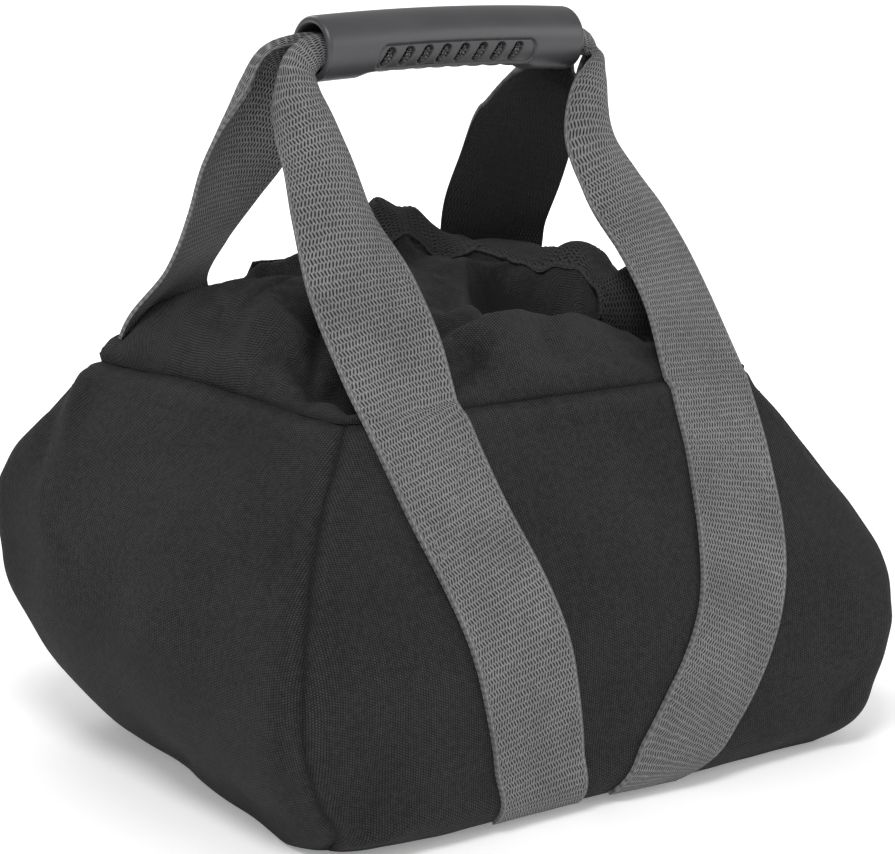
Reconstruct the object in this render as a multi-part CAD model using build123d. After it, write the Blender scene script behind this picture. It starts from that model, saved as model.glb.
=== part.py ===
"""Canvas carry sandbag with webbing straps and a moulded grip.

Millimetres, +Z up. The origin is the centre of the base panel on the floor, +X runs along the grip,
-Y is the front. The bag is a sewn canvas sack filled with sand in a plastic liner.
"""
import os
from math import atan2, cos, degrees, sin

from build123d import *

os.makedirs("parts", exist_ok=True)

# ---- driving dimensions ------------------------------------------------------------------------
SKIN = 1.4                 # canvas thickness, measured level
GAP = 0.1                  # air between layers that only touch
FAR = 300.0                # beyond the bag in any direction
SEAM_TURN = 4.0            # how far the base panel turns up to its seam

# Levels of the sack: height, half length at front and rear, half depth at front and rear,
# corner radius at front and rear. The filled sack is widest a third of the way up.
LEVELS = [
    (0.0, 150.0, 120.0, 117.0, 100.0, 24.0, 50.0),
    (12.0, 156.0, 132.0, 131.0, 111.0, 18.0, 48.0),
    (29.0, 167.0, 147.0, 133.0, 120.0, 18.0, 44.0),
    (52.0, 175.0, 161.0, 134.0, 125.0, 19.0, 39.0),
    (79.0, 175.0, 170.0, 132.0, 128.0, 19.0, 31.0),
    (109.0, 164.0, 166.0, 120.0, 122.0, 18.0, 22.0),
    (142.0, 145.0, 147.0, 103.0, 105.0, 15.0, 15.0),
    (160.0, 131.5, 133.0, 94.0, 95.0, 13.0, 13.0),
    (175.0, 121.5, 121.5, 87.0, 87.0, 12.0, 12.0),
]
RIM_Z = LEVELS[-1][0]
RIM_X = LEVELS[-1][1]
RIM_Y = LEVELS[-1][3]
RIM_R = LEVELS[-1][5]

SEAM_SLOPE = 0.86          # plan slope of the corner seams, from rim corner to bulge corner
SEAM_START = RIM_X - RIM_Y / SEAM_SLOPE

ROOF_Z = RIM_Z + 61.0      # slack top, pushed up between the straps
ROOF_X = 95.0
ROOF_FRONT = -50.0
ROOF_REAR = 48.0
ROOF_R = 8.0
ROOF_FOOT = RIM_Z + 0.05

FLAP_HINGE_Y = 63.0        # sewn edge of the fill flap, on the rear slope
FLAP_EDGE_Y = 82.0         # its free edge
FLAP_X = 58.0              # half width, between the rear straps
FLAP_SLIT = 0.2
TAPE_T = 1.0               # hook-and-loop tape
TAPE_W = 20.0
TAPE_START = 36.0          # down the slope from the ridge
TAPE_SHORT = 3.0           # how much shorter than the flap the tapes are, each end
STRIP_START = 31.0
STRIP_END = 68.0
MOUTH_CUT_Z = RIM_Z + 2.0

WEB_W = 50.0               # carry webbing
WEB_T = 1.8
LEFT_PATH = [(0.0, -42.0), (55.0, -53.0), (100.0, -63.0), (140.0, -74.0), (175.0, -88.0)]
RIGHT_PATH = [(0.0, 24.0), (50.0, 61.0), (90.0, 79.0), (140.0, 90.0), (175.0, 89.0)]
BOX_Z = 143.0              # centre of each stitched box
BOX_SIDE = 38.0
THREAD = 0.9
THREAD_RISE = 0.4

BAND_W = 27.0              # narrow black webbing on the top
BAND_T = 1.6
BAND_X = 58.5
BAND_DROP = 24.0           # how far its front end turns down
RIDGE_END = -60.0          # left end of the run along the ridge

GRIP_X = -5.5              # the grip hangs a little left of the middle
GRIP_Z = 321.5
GRIP_LEN = 146.0
GRIP_R = 14.5
LIP_R = 15.0
LIP_LEN = 6.0
BORE_R = 11.0
RIB_X = -3.0               # centre of the row of ribs, from the middle of the grip
RIB_COUNT = 8
RIB_PITCH = 10.4
RIB_TILT = 22.0
RIB_SLOT = (9.6, 4.4)      # length and width of the slot in the shell
RIB_SIZE = (8.8, 3.6)      # the same of the rib in it
RIB_SUNK = 1.6             # rib tops below the grip's surface
PANEL_DOWN = 24.0          # how far the ribbed panel faces below level, degrees
PANEL_X = -0.5
PANEL_LEN = 90.0
PANEL_H = 11.0
PANEL_CUT = 0.7            # depth of the recessed panel
NOTCH_R = 6.4              # finger scallops along the bottom
NOTCH_DEEP = 0.8
NOTCH_LEN = 16.0
INSERT_T = 1.5
CORE_R = 8.6
CORE_OUT = 92.0            # half length of the bunched webbing through the grip
LEG_OUT = GRIP_LEN / 2 + 9.0  # where the legs meet it, from the middle of the grip

BINDING_T = 1.2            # woven binding round the rim seam
BINDING_DROP = 11.0
BINDING_AIR = 0.3
CORNER_BINDING_T = 1.0     # the same on the corner seams
CORNER_BINDING_W = 16.0
CORNER_BINDING_Z = (12.0, RIM_Z - 15.0)

LINER_IN = 3.0             # liner surface inside the canvas
LINER_T = 0.5
LINER_TOP = 150.0
LINER_LIFT = 0.6           # liner over the base panel
SAND_TOP = 140.0
NECK_R = 16.0              # gathered neck of the liner
NECK_H = 15.0
TIE_T = 2.0
TIE_H = 4.0


# ---- shared helpers ----------------------------------------------------------------------------
def save(name, shape):
    """Write one node and print its size."""
    solids = shape.solids()
    body = solids[0] if len(solids) == 1 else Compound(children=list(solids))
    body.label = name
    export_step(body, f"parts/{name}.step")
    volume = sum(s.volume for s in solids)
    print(f"{name:24s} solids {len(solids)}  volume {volume:12.1f}")


def level_face(level, grow, z=None):
    """One level of the sack as a flat face, grown outwards."""
    height, x_front, x_rear, y_front, y_rear, r_front, r_rear = level
    corners = [
        (-x_front - grow, -y_front - grow),
        (x_front + grow, -y_front - grow),
        (x_rear + grow, y_rear + grow),
        (-x_rear - grow, y_rear + grow),
    ]
    face = Polygon(*corners, align=None)
    face = fillet(face.vertices().group_by(Axis.Y)[0], r_front + grow)
    face = fillet(face.vertices().group_by(Axis.Y)[-1], r_rear + grow)
    return Pos(0, 0, height if z is None else z) * face


def sack(grow, z_start):
    """Solid inside the sack's surface, grown outwards, starting at z_start."""
    faces = [level_face(LEVELS[0], grow, z_start)]
    faces += [level_face(level, grow) for level in LEVELS[1:]]
    return loft(faces)


def slab(z_low, z_high):
    """Everything between two heights."""
    return Pos(0, 0, z_low) * Box(2 * FAR, 2 * FAR, z_high - z_low,
                                  align=(Align.CENTER, Align.CENTER, Align.MIN))


def prism(points, z_low, z_high):
    """Plan polygon extruded between two heights."""
    face = Pos(0, 0, z_low) * Polygon(*points, align=None)
    return extrude(face, z_high - z_low, dir=(0, 0, 1))


def half_space(sign):
    """Front (sign -1) or rear (sign +1) of the bag."""
    return Pos(0, sign * FAR / 2, FAR / 2) * Box(2 * FAR, FAR, 2 * FAR)


def slope_frame():
    """Plane lying on the rear slope of the roof: x along the bag, y down the slope."""
    outward = (0, ROOF_Z - RIM_Z, RIM_Y - ROOF_REAR)
    return Plane(origin=(0, ROOF_REAR, ROOF_Z), x_dir=(1, 0, 0), z_dir=outward)


def slope_sheet(x_low, x_high, s_low, s_high, depth_low, depth_high):
    """Flat sheet under the rear slope, between two depths."""
    box = Box(x_high - x_low, s_high - s_low, depth_high - depth_low,
              align=(Align.MIN, Align.MIN, Align.MAX))
    return slope_frame() * Pos(x_low, s_low, -depth_low) * box


# ---- canvas sack -------------------------------------------------------------------------------
def wall_wedges():
    """Plan regions of the four wall panels, meeting at the corner seams."""
    reach = SEAM_START + FAR / SEAM_SLOPE
    start = SEAM_START
    front = [(-start, -GAP), (start, -GAP), (reach - GAP, -FAR), (-reach + GAP, -FAR)]
    side = [(start + GAP, 0), (reach + GAP, -FAR), (reach + GAP, FAR)]
    return {
        "front_panel": front,
        "rear_panel": [(x, -y) for x, y in front],
        "right_panel": side,
        "left_panel": [(-x, y) for x, y in side],
    }


def make_walls():
    """Four wall panels and the base panel."""
    shell = sack(0, 0) - sack(-SKIN, SKIN)
    walls = shell & slab(SEAM_TURN + GAP, RIM_Z - GAP)
    for name, region in wall_wedges().items():
        save(name, walls & prism(region, -10, FAR))
    save("base_panel", shell & slab(-10, SEAM_TURN))


def roof_solid(inset):
    """Solid under the slack top."""
    rim = RectangleRounded(2 * (RIM_X - inset), 2 * (RIM_Y - inset), RIM_R - inset)
    depth = ROOF_REAR - ROOF_FRONT
    middle = (ROOF_REAR + ROOF_FRONT) / 2
    ridge = RectangleRounded(2 * (ROOF_X - inset), depth - 2 * inset, ROOF_R - inset)
    return loft([Pos(0, 0, ROOF_FOOT) * rim, Pos(0, middle, ROOF_Z - inset) * ridge], ruled=True)


def flap_region(slit):
    """Plan outline of the fill flap, shrunk by the slit."""
    side = FLAP_X - slit
    hinge_y = FLAP_HINGE_Y + slit
    edge_y = FLAP_EDGE_Y - slit
    return [(-side, hinge_y), (side, hinge_y), (side, edge_y), (-side, edge_y)]


def make_top():
    """Slack top panel, the fill flap cut in it, and the hook-and-loop closure under the flap."""
    roof = roof_solid(0) - roof_solid(SKIN)
    save("top_panel", roof - prism(flap_region(0), MOUTH_CUT_Z, FAR))
    save("fill_flap", roof & prism(flap_region(FLAP_SLIT), MOUTH_CUT_Z, FAR))
    slope_angle = atan2(ROOF_Z - RIM_Z, RIM_Y - ROOF_REAR)
    under = SKIN * (cos(slope_angle) + sin(slope_angle)) + GAP
    tape_x = (-FLAP_X + TAPE_SHORT, FLAP_X - TAPE_SHORT)
    tape_s = (TAPE_START, TAPE_START + TAPE_W)
    save("flap_hook_tape", slope_sheet(*tape_x, *tape_s, under, under + TAPE_T))
    under += TAPE_T + GAP
    save("mouth_loop_tape", slope_sheet(*tape_x, *tape_s, under, under + TAPE_T))
    under += TAPE_T + GAP
    save("mouth_strip", slope_sheet(*tape_x, STRIP_START, STRIP_END, under, under + SKIN))


def make_seam_bindings():
    """Woven binding on the seam allowances inside the sack."""
    inset = SKIN + BINDING_AIR
    outer = RectangleRounded(2 * (RIM_X - inset), 2 * (RIM_Y - inset), RIM_R - inset)
    inset += BINDING_T
    inner = RectangleRounded(2 * (RIM_X - inset), 2 * (RIM_Y - inset), RIM_R - inset)
    ring = extrude(outer - inner, BINDING_DROP)
    save("rim_seam_binding", Pos(0, 0, RIM_Z - BINDING_DROP - 2 * GAP) * ring)
    inset = SKIN + 2 * GAP
    layer = sack(-inset, inset) - sack(-inset - CORNER_BINDING_T, inset + CORNER_BINDING_T)
    layer = layer & slab(*CORNER_BINDING_Z)
    strips = []
    for sx in (-1, 1):
        for sy in (-1, 1):
            turn = degrees(atan2(sy * SEAM_SLOPE, sx))
            foot = Pos(sx * SEAM_START, 0, 0) * Rot(0, 0, turn)
            strip = foot * Pos(FAR / 2, 0, RIM_Z / 2) * Box(FAR, CORNER_BINDING_W, RIM_Z)
            strips += (layer & strip).solids()
    save("corner_seam_bindings", Compound(children=strips))


# ---- filling -----------------------------------------------------------------------------------
def make_filling():
    """Sand in a tied plastic liner."""
    floor_z = SKIN + LINER_LIFT
    bag = sack(-LINER_IN, floor_z) & slab(0, LINER_TOP)
    inside = sack(-LINER_IN - LINER_T, floor_z + LINER_T) & slab(0, LINER_TOP - LINER_T)
    neck_z = LINER_TOP - NECK_H / 3
    neck = Pos(0, 0, neck_z) * extrude(Circle(NECK_R), NECK_H + NECK_H / 3)
    hole = Pos(0, 0, neck_z - NECK_H / 3) * extrude(Circle(NECK_R - LINER_T), 3 * NECK_H)
    save("liner_bag", (bag + neck) - inside - hole)
    tie_in = NECK_R + 2 * GAP
    tie = extrude(Circle(tie_in + TIE_T) - Circle(tie_in), TIE_H)
    save("liner_tie", Pos(0, 0, LINER_TOP + NECK_H / 3) * tie)
    sand = sack(-LINER_IN - LINER_T - GAP, floor_z + LINER_T + GAP) & slab(0, SAND_TOP)
    save("sand_fill", sand)


# ---- carry straps ------------------------------------------------------------------------------
def path_x(path, z):
    """Centre of a strap at a height, straight between the listed points."""
    for (z0, x0), (z1, x1) in zip(path, path[1:]):
        if z <= z1:
            return x0 + (x1 - x0) * (z - z0) / (z1 - z0)
    return path[-1][1]


def elevation_prism(face):
    """Front-view face (x, z) extruded through the whole depth of the bag."""
    return extrude(Plane.XZ * face, FAR, both=True)


def strap_outline(path):
    """Front-view outline of a strap on its panel."""
    left = Spline(*[(x - WEB_W / 2, z) for z, x in path])
    right = Spline(*[(x + WEB_W / 2, z) for z, x in reversed(path)])
    top = Line(left @ 1, right @ 0)
    bottom = Line(right @ 1, left @ 0)
    return make_face([left, top, right, bottom])


def box_pattern(path):
    """Front-view outline of a stitched square with both diagonals."""
    side = BOX_SIDE
    pattern = Rectangle(side, side) - Rectangle(side - 2 * THREAD, side - 2 * THREAD)
    diagonal = (side - THREAD) * 2 ** 0.5
    for turn in (45, -45):
        pattern += Rot(0, 0, turn) * Rectangle(diagonal, THREAD)
    return Pos(path_x(path, BOX_Z), BOX_Z) * pattern


def make_sewn_straps():
    """Webbing sewn up the front and rear panels, with its stitched boxes."""
    layer = (sack(WEB_T + GAP, 0) - sack(GAP, 0)) & slab(SEAM_TURN + GAP, RIM_Z)
    outer = WEB_T + 2 * GAP
    threads = (sack(outer + THREAD_RISE, 0) - sack(outer, 0)) & slab(BOX_Z - 25, BOX_Z + 25)
    boxes = []
    for side, path in (("left", LEFT_PATH), ("right", RIGHT_PATH)):
        region = elevation_prism(strap_outline(path))
        stitch = elevation_prism(box_pattern(path))
        for end, sign in (("front", -1), ("rear", 1)):
            half = half_space(sign)
            save(f"{end}_{side}_strap", layer & region & half)
            boxes += (threads & stitch & half).solids()
    save("box_stitching", Compound(children=boxes))


def leg_sections(foot_x, sign):
    """Sections of a free strap leg, from the rim up to the bunched end under the grip."""
    side = 1 if foot_x > 0 else -1
    reach = GRIP_X + side * LEG_OUT - foot_x
    foot_y = RIM_Y + GAP + WEB_T / 2 + 0.1
    rows = [
        (RIM_Z + 0.3, 0.0, foot_y, WEB_W, WEB_T, 0),
        (RIM_Z + 42, 0.3, 0.78 * foot_y, WEB_W, WEB_T, 2),
        (RIM_Z + 85, 0.6, 0.50 * foot_y, 40.0, 2.2, 8),
        (RIM_Z + 118, 0.85, 0.21 * foot_y, 26.0, 4.0, 10),
        (GRIP_Z - CORE_R - 0.4, 1.0, 6.4, 15.0, 6.4, 0),
    ]
    faces = []
    for z, share, y, width, thick, turn in rows:
        place = Pos(foot_x + share * reach, sign * y, z) * Rot(0, 0, -sign * side * turn)
        faces.append(place * Rectangle(width, thick))
    return faces


def make_free_straps():
    """Four free legs and the bunched webbing that runs through the grip."""
    for side, path in (("left", LEFT_PATH), ("right", RIGHT_PATH)):
        foot_x = path[-1][1]
        for end, sign in (("front", -1), ("rear", 1)):
            save(f"{end}_{side}_leg", loft(leg_sections(foot_x, sign)))
    for end, sign in (("front", -1), ("rear", 1)):
        rod = Rot(0, 90, 0) * Cylinder(CORE_R, 2 * CORE_OUT)
        cut = Pos(0, sign * (FAR / 2 + 0.2), 0) * Box(2 * FAR, FAR, FAR)
        save(f"{end}_strap_core", Pos(GRIP_X, 0, GRIP_Z) * (rod & cut))


# ---- narrow webbing on the top -----------------------------------------------------------------
def band_profile():
    """Side view (y, z) of the band over the roof, from its turned-down front end to the rear."""
    rise = ROOF_Z - RIM_Z
    run = ROOF_FRONT + RIM_Y
    slope = (rise ** 2 + run ** 2) ** 0.5
    out = 0.2
    normal = (-rise / slope, run / slope)
    foot = (ROOF_FRONT - BAND_DROP * run / slope, ROOF_Z - BAND_DROP * rise / slope)
    low = [
        (foot[0] + out * normal[0], foot[1] + out * normal[1]),
        (ROOF_FRONT - out, ROOF_Z + out),
        (ROOF_REAR, ROOF_Z + out),
    ]
    reach = out + BAND_T
    high = [
        (ROOF_REAR, ROOF_Z + reach),
        (ROOF_FRONT - reach / 2, ROOF_Z + reach),
        (foot[0] + reach * normal[0], foot[1] + reach * normal[1]),
    ]
    return low + high


def make_top_bands():
    """Black webbing edging the top: one run front to rear, one along the ridge."""
    face = Plane.YZ * Polygon(*band_profile(), align=None)
    run = extrude(face, BAND_W / 2, both=True)
    save("top_band_side", Pos(BAND_X, 0, 0) * run)
    length = BAND_X - BAND_W / 2 - 1 - RIDGE_END
    strip = Box(length, BAND_W, BAND_T, align=(Align.MIN, Align.MAX, Align.MIN))
    save("top_band_ridge", Pos(RIDGE_END, ROOF_REAR - 0.5, ROOF_Z + 0.2) * strip)


# ---- grip --------------------------------------------------------------------------------------
def rib_places():
    """Positions of the ribs from the middle of the grip."""
    first = RIB_X - RIB_PITCH * (RIB_COUNT - 1) / 2
    return [first + RIB_PITCH * i for i in range(RIB_COUNT)]


def rib_post(x, length, width, r_low, r_high):
    """Slanted oval post pointing out of the ribbed panel."""
    oval = SlotOverall(length, width, rotation=90 - RIB_TILT)
    post = extrude(Plane.XZ * oval, r_high - r_low)
    return Pos(x, -r_low, 0) * post


def make_grip():
    """Moulded grip shell with a ribbed panel, and the rubber insert showing through it."""
    along = Rot(0, 90, 0)
    shell = along * Cylinder(GRIP_R, GRIP_LEN)
    lip = fillet(Cylinder(LIP_R, LIP_LEN).edges(), 2.0)
    for sign in (-1, 1):
        shell += along * Pos(0, 0, sign * (GRIP_LEN - LIP_LEN) / 2) * lip
    shell -= along * Cylinder(BORE_R, GRIP_LEN + 10)
    panel = extrude(Plane.XZ * Pos(PANEL_X, 0) * SlotOverall(PANEL_LEN, PANEL_H), 2 * GRIP_R)
    shell -= panel - along * Cylinder(GRIP_R - PANEL_CUT, 2 * FAR)
    notch_z = -GRIP_R - NOTCH_R + NOTCH_DEEP
    for x in rib_places():
        shell -= rib_post(x, *RIB_SLOT, 0, 2 * GRIP_R)
        shell -= Pos(x, 0, notch_z) * Rot(90, 0, 0) * Cylinder(NOTCH_R, NOTCH_LEN)
    insert = along * Cylinder(BORE_R - GAP, GRIP_LEN - 8)
    insert -= along * Cylinder(BORE_R - INSERT_T, GRIP_LEN)
    for x in rib_places():
        insert += rib_post(x, *RIB_SIZE, BORE_R - 1.0, GRIP_R - RIB_SUNK)
    place = Pos(GRIP_X, 0, GRIP_Z) * Rot(PANEL_DOWN, 0, 0)
    save("grip_shell", place * shell)
    save("grip_insert", place * insert)


make_walls()
make_top()
make_seam_bindings()
make_filling()
make_sewn_straps()
make_free_straps()
make_top_bands()
make_grip()
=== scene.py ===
"""Looks of the canvas carry sandbag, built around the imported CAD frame.

The builders work in millimetres in the row frame (+Z up, +X along the grip, -Y front) and the meshes
are written in metres. Every place comes from the CAD nodes' boxes or from the dimensions below.
"""

from math import cos, pi, radians, sin

import bpy
import numpy as np
from mathutils import Matrix, Vector


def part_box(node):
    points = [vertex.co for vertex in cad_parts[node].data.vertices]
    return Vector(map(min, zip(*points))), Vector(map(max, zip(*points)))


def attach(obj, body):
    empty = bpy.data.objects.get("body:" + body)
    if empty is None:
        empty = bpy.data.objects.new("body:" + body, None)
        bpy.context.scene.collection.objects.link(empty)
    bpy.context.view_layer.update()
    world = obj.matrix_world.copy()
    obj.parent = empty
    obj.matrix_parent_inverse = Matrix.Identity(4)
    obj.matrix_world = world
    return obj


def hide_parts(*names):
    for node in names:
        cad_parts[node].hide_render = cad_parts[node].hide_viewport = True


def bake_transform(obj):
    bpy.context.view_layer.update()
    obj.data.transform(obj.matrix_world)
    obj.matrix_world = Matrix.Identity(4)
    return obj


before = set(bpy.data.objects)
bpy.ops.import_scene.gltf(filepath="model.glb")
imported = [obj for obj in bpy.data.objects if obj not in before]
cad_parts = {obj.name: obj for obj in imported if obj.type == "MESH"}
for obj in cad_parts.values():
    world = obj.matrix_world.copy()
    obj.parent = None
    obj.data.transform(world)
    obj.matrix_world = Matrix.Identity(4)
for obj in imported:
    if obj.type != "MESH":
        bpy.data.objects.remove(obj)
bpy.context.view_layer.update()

MM = 0.001


def cad_box(node):
    """Lowest and highest corner of a CAD node, in mm."""
    low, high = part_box(node)
    return np.array(low) / MM, np.array(high) / MM


# ---- dimensions --------------------------------------------------------------------------------
TOP_LOW, TOP_HIGH = cad_box("top_panel")
RIM_X = TOP_HIGH[0]
RIM_Y = TOP_HIGH[1]
RIM_Z = round(TOP_LOW[2])
GRIP_LOW, GRIP_HIGH = cad_box("grip_shell")
GRIP_X = (GRIP_LOW[0] + GRIP_HIGH[0]) / 2
GRIP_END = GRIP_HIGH[0] - GRIP_X
GRIP_Z = (GRIP_LOW[2] + GRIP_HIGH[2]) / 2
BASE_TURN = cad_box("base_panel")[1][2]
BULGE_X = cad_box("right_panel")[1][0]

# Levels of the sack as shares of the rim height and of the bulge's half length: height, half length
# front and rear, half depth front and rear, corner radius front and rear.
LEVELS = [
    (0.000, 0.857, 0.686, 0.669, 0.571, 0.137, 0.286),
    (0.069, 0.891, 0.754, 0.749, 0.634, 0.103, 0.274),
    (0.166, 0.954, 0.840, 0.760, 0.686, 0.103, 0.251),
    (0.297, 1.000, 0.920, 0.766, 0.714, 0.109, 0.223),
    (0.451, 1.000, 0.971, 0.754, 0.731, 0.109, 0.177),
    (0.623, 0.937, 0.949, 0.686, 0.697, 0.103, 0.126),
    (0.811, 0.829, 0.840, 0.589, 0.600, 0.086, 0.086),
    (0.914, 0.751, 0.760, 0.537, 0.543, 0.074, 0.074),
    (1.000, 0.694, 0.694, 0.497, 0.497, 0.069, 0.069),
]
# The sand leaves the upper sack leaning: plan shift of each corner, full from SLUMP_Z upwards.
SLUMP = {(-1, 1): (-9.5, 9.5), (1, -1): (-6.0, 2.5), (-1, -1): (0.0, 0.5), (1, 1): (-2.0, 1.0)}
SLUMP_Z = (84.0, 138.0)
SLUMP_FOCUS = 3.5          # how fast the lean fades away from its corner
SLUMP_OVER = 1.15          # cloth outside the rim may lean this much more than the rim line
CANVAS = 1.4               # canvas thickness
STEP = 1.8                 # mean spacing of the fabric meshes
TOP_STEP = 1.6             # the same for the folded top
CROWDING = 0.6             # how much closer together the rows of the walls are at the seams
WALL_FOOT = 1.2            # lower edge of the walls, tucked round the base
PINCH = 2.2                # how far a seam pulls in
SEAM_ROLL = 1.2            # rounded edge of the filled cloth beside a seam
PUFF = 2.0                 # crown of a panel between its seams
PUFF_REACH = 60.0          # distance from a seam at which it is full
DRAWN_IN = 1.6             # how far the cloth lies inside the plain sack above its foot
BELLY = 3.0                # outward curve of a whole panel at its bulge
LUMP = 1.1                 # wide unevenness from the sand
SMALL_LUMP = 0.16
PUCKER = 0.35              # unevenness along the seams
DEEPEST = 1.6              # a crease goes no deeper than this, to stay clear of the liner

WEB_W = 50.0               # carry webbing
WEB_T = 1.8
WEB_GAP = 0.35             # air between the webbing and the panel
WEB_COLS = 27
STRAP_PATHS = {            # height and x of each strap's centre on its panel
    "left": [(0, -44.5), (55, -57.5), (100, -68), (140, -79.5), (RIM_Z, -88)],
    "right": [(0, 12.5), (50, 47.5), (90, 67.5), (140, 80), (RIM_Z, 82.5)],
}
LEG_SLOPE = 0.58           # how far a free leg leans in for each mm it rises
# Free legs: x, depth from the middle, height, twist of the inner edge outwards, roll of the edges.
LEGS = {
    "front_left": [
        (-89.5, 74, 202, 12, 0), (-91, 58, 227, 12, 12), (-90.5, 43, 253, 2, 50),
        (-88.5, 28, 277, 0, 80), (-90, 19, 292, 0, 98), (-91.5, 12, 305, 0, 116),
        (-89.5, 8.0, 315, 0, 136), (-81.5, 5.8, 320.6, 0, 150), (-67.5, 5.2, 321.5, 0, 150),
    ],
    "rear_left": [
        (-101, 77, 202, 24, 0), (-98, 57, 227, 30, 0), (-95, 43, 250, 22, 8),
        (-94.5, 28, 276, 6, 36), (-95.5, 19, 292, 0, 66), (-95.5, 12, 306, 0, 100),
        (-93.5, 8.0, 317, 0, 132), (-83.5, 5.8, 321, 0, 150), (-67.5, 5.2, 321.5, 0, 150),
    ],
    "front_right": [
        (81.5, 70, 207, 8, 0), (77.5, 54, 234, 8, 12), (71, 39, 260, 6, 48), (67, 29, 277, 18, 74),
        (70, 20, 291, 44, 98), (75.5, 13, 304, 64, 116), (78, 8.5, 313, 76, 134),
        (77, 6.2, 319.5, 34, 148), (68.5, 5.4, 321, 8, 150), (56.5, 5.2, 321.5, 0, 150),
    ],
    "rear_right": [
        (82, 70, 207, 22, 0), (72, 52, 236, 38, 0), (72, 42, 256, 38, 0), (66.5, 23, 288, 24, 24),
        (64.5, 15, 302, 12, 56), (68.5, 9.0, 313, 4, 108), (73.5, 6.5, 319, 0, 140),
        (67.5, 5.4, 321.3, 0, 150), (56.5, 5.2, 321.5, 0, 150),
    ],
}
CORE_Y = 5.2               # depth of each bunched strap in the grip
BOX_Z = 143.0              # centre of each stitched box
BOX_SIDE = 38.0
STITCH_PITCH = 3.0

BAND_W = 27.0              # narrow black webbing on the top
BAND_T = 1.6
BAND_GAP = 0.6
BAND_STEP = 1.5
BAND_COLS = 15

# Slack top: heights over the rim at places on its plan.
TOP_POINTS = [
    # left dome
    (-110, 58, 27), (-100, 44, 35), (-80, 42, 37), (-52, 44, 39), (-98, 20, 40), (-68, 20, 43),
    (-40, 22, 43), (-110, -4, 32), (-88, -14, 38), (-62, -18, 39), (-98, -44, 27), (-72, -50, 29),
    (-45, -46, 28),
    # slope between the dome and the nose
    (-25, -8, 38), (-34, -30, 31), (-18, 22, 43),
    # nose: a crease running down towards the front left
    (20, 12, 35), (0, -14, 24), (-10, -27, 18),
    # hollow between the nose and the band
    (33, -34, 4), (20, -26, 9), (36, -20, 9), (35, -4, 19), (12, -42, 8),
    # edge under the band
    (46, -40, 36), (46, -20, 38), (45, 0, 41), (46, 20, 45), (58, -42, 38), (58, 0, 45),
    (72, -38, 39), (72, 0, 46), (72, 30, 44),
    # fold along the front
    (-33, -62, 25), (-18, -62, 28), (-7, -62, 30.5), (5, -62, 29), (25, -62, 23), (44, -62, 18),
    (56, -63, 15), (72, -65, 8), (92, -70, 4), (-20, -80, 15), (20, -80, 12), (60, -80, 5),
    (5, -48, 17), (30, -50, 9), (58, -55, 5), (84, -54, 8),
    # left rear corner
    (-115, 81, 10), (-106, 70, 20), (-96, 60, 30), (-118, 60, 12),
    # ridge along the rear and the slope behind it
    (0, 51, 68), (22, 51, 66), (40, 48, 51), (-26, 51, 55), (-60, 54, 35), (62, 50, 42),
    (0, 40, 52), (-24, 39, 45), (22, 40, 48),
    # right slope
    (92, -10, 33), (92, 26, 32), (106, 6, 21), (104, -40, 14), (104, 44, 17),
]
FLAP_LOW, FLAP_HIGH = cad_box("fill_flap")
REAR_TOP_Y = FLAP_LOW[1] - 1  # the rear slope is flat under the fill flap from here down


# ---- shared maths ------------------------------------------------------------------------------
def smooth(t):
    """0 to 1 with soft ends."""
    t = np.clip(t, 0, 1)
    return t * t * (3 - 2 * t)


def waves(x, y, length, seed, count=9):
    """Seeded smooth unevenness with a spread of about 1, its bumps about length apart."""
    rng = np.random.default_rng(seed)
    total = 0
    for _ in range(count):
        turn = rng.uniform(0, 2 * pi)
        rate = 2 * pi / length * rng.uniform(0.7, 1.4)
        total = total + np.sin(rate * (x * np.cos(turn) + y * np.sin(turn)) + rng.uniform(0, 2 * pi))
    return total / np.sqrt(count / 2)


def curve(keys, t):
    """Smooth curve through rows of keys; the first column is the parameter."""
    keys = np.asarray(keys, float)
    t = np.atleast_1d(np.asarray(t, float))
    x, y = keys[:, 0], keys[:, 1:]
    slope = np.gradient(y, x, axis=0)
    i = np.clip(np.searchsorted(x, t) - 1, 0, len(x) - 2)
    h = (x[i + 1] - x[i])[:, None]
    s = np.clip((t - x[i])[:, None] / h, 0, 1)
    rise = (2 * s ** 3 - 3 * s ** 2 + 1) * y[i] + (3 * s ** 2 - 2 * s ** 3) * y[i + 1]
    return rise + h * ((s ** 3 - 2 * s ** 2 + s) * slope[i] + (s ** 3 - s ** 2) * slope[i + 1])


def unit(v):
    return v / np.maximum(np.linalg.norm(v, axis=-1, keepdims=True), 1e-9)


def grid_normals(grid):
    """Unit normals of a grid of points; along the rows crossed with up the rows."""
    up = np.gradient(grid, axis=0)
    along = np.gradient(grid, axis=1)
    return unit(np.cross(along, up))


def crowded(count):
    """Shares from 0 to 1, closer together at both ends, where the seams are."""
    t = np.linspace(0, 1, count)
    return t - CROWDING * np.sin(2 * pi * t) / (2 * pi)


def arc_length(points):
    """Distance along a polyline at each of its points."""
    return np.concatenate([[0], np.cumsum(np.linalg.norm(np.diff(points, axis=0), axis=1))])


def resample(points, shares):
    """Points at shares of the length of a polyline."""
    run = arc_length(points)
    want = run[-1] * shares
    return np.stack([np.interp(want, run, points[:, k]) for k in range(points.shape[1])], -1)


def between(values, row, col):
    """Values of a grid between its rows and columns."""
    i, j = row.astype(int), col.astype(int)
    extra = (1,) * (values.ndim - 2)
    fi, fj = (row - i).reshape(row.shape + extra), (col - j).reshape(col.shape + extra)
    low = values[i, j] * (1 - fj) + values[i, j + 1] * fj
    high = values[i + 1, j] * (1 - fj) + values[i + 1, j + 1] * fj
    return low * (1 - fi) + high * fi


def at_height(ring, z):
    """Plan points lifted to a height."""
    return np.column_stack([ring, np.full(len(ring), z)])


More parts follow.
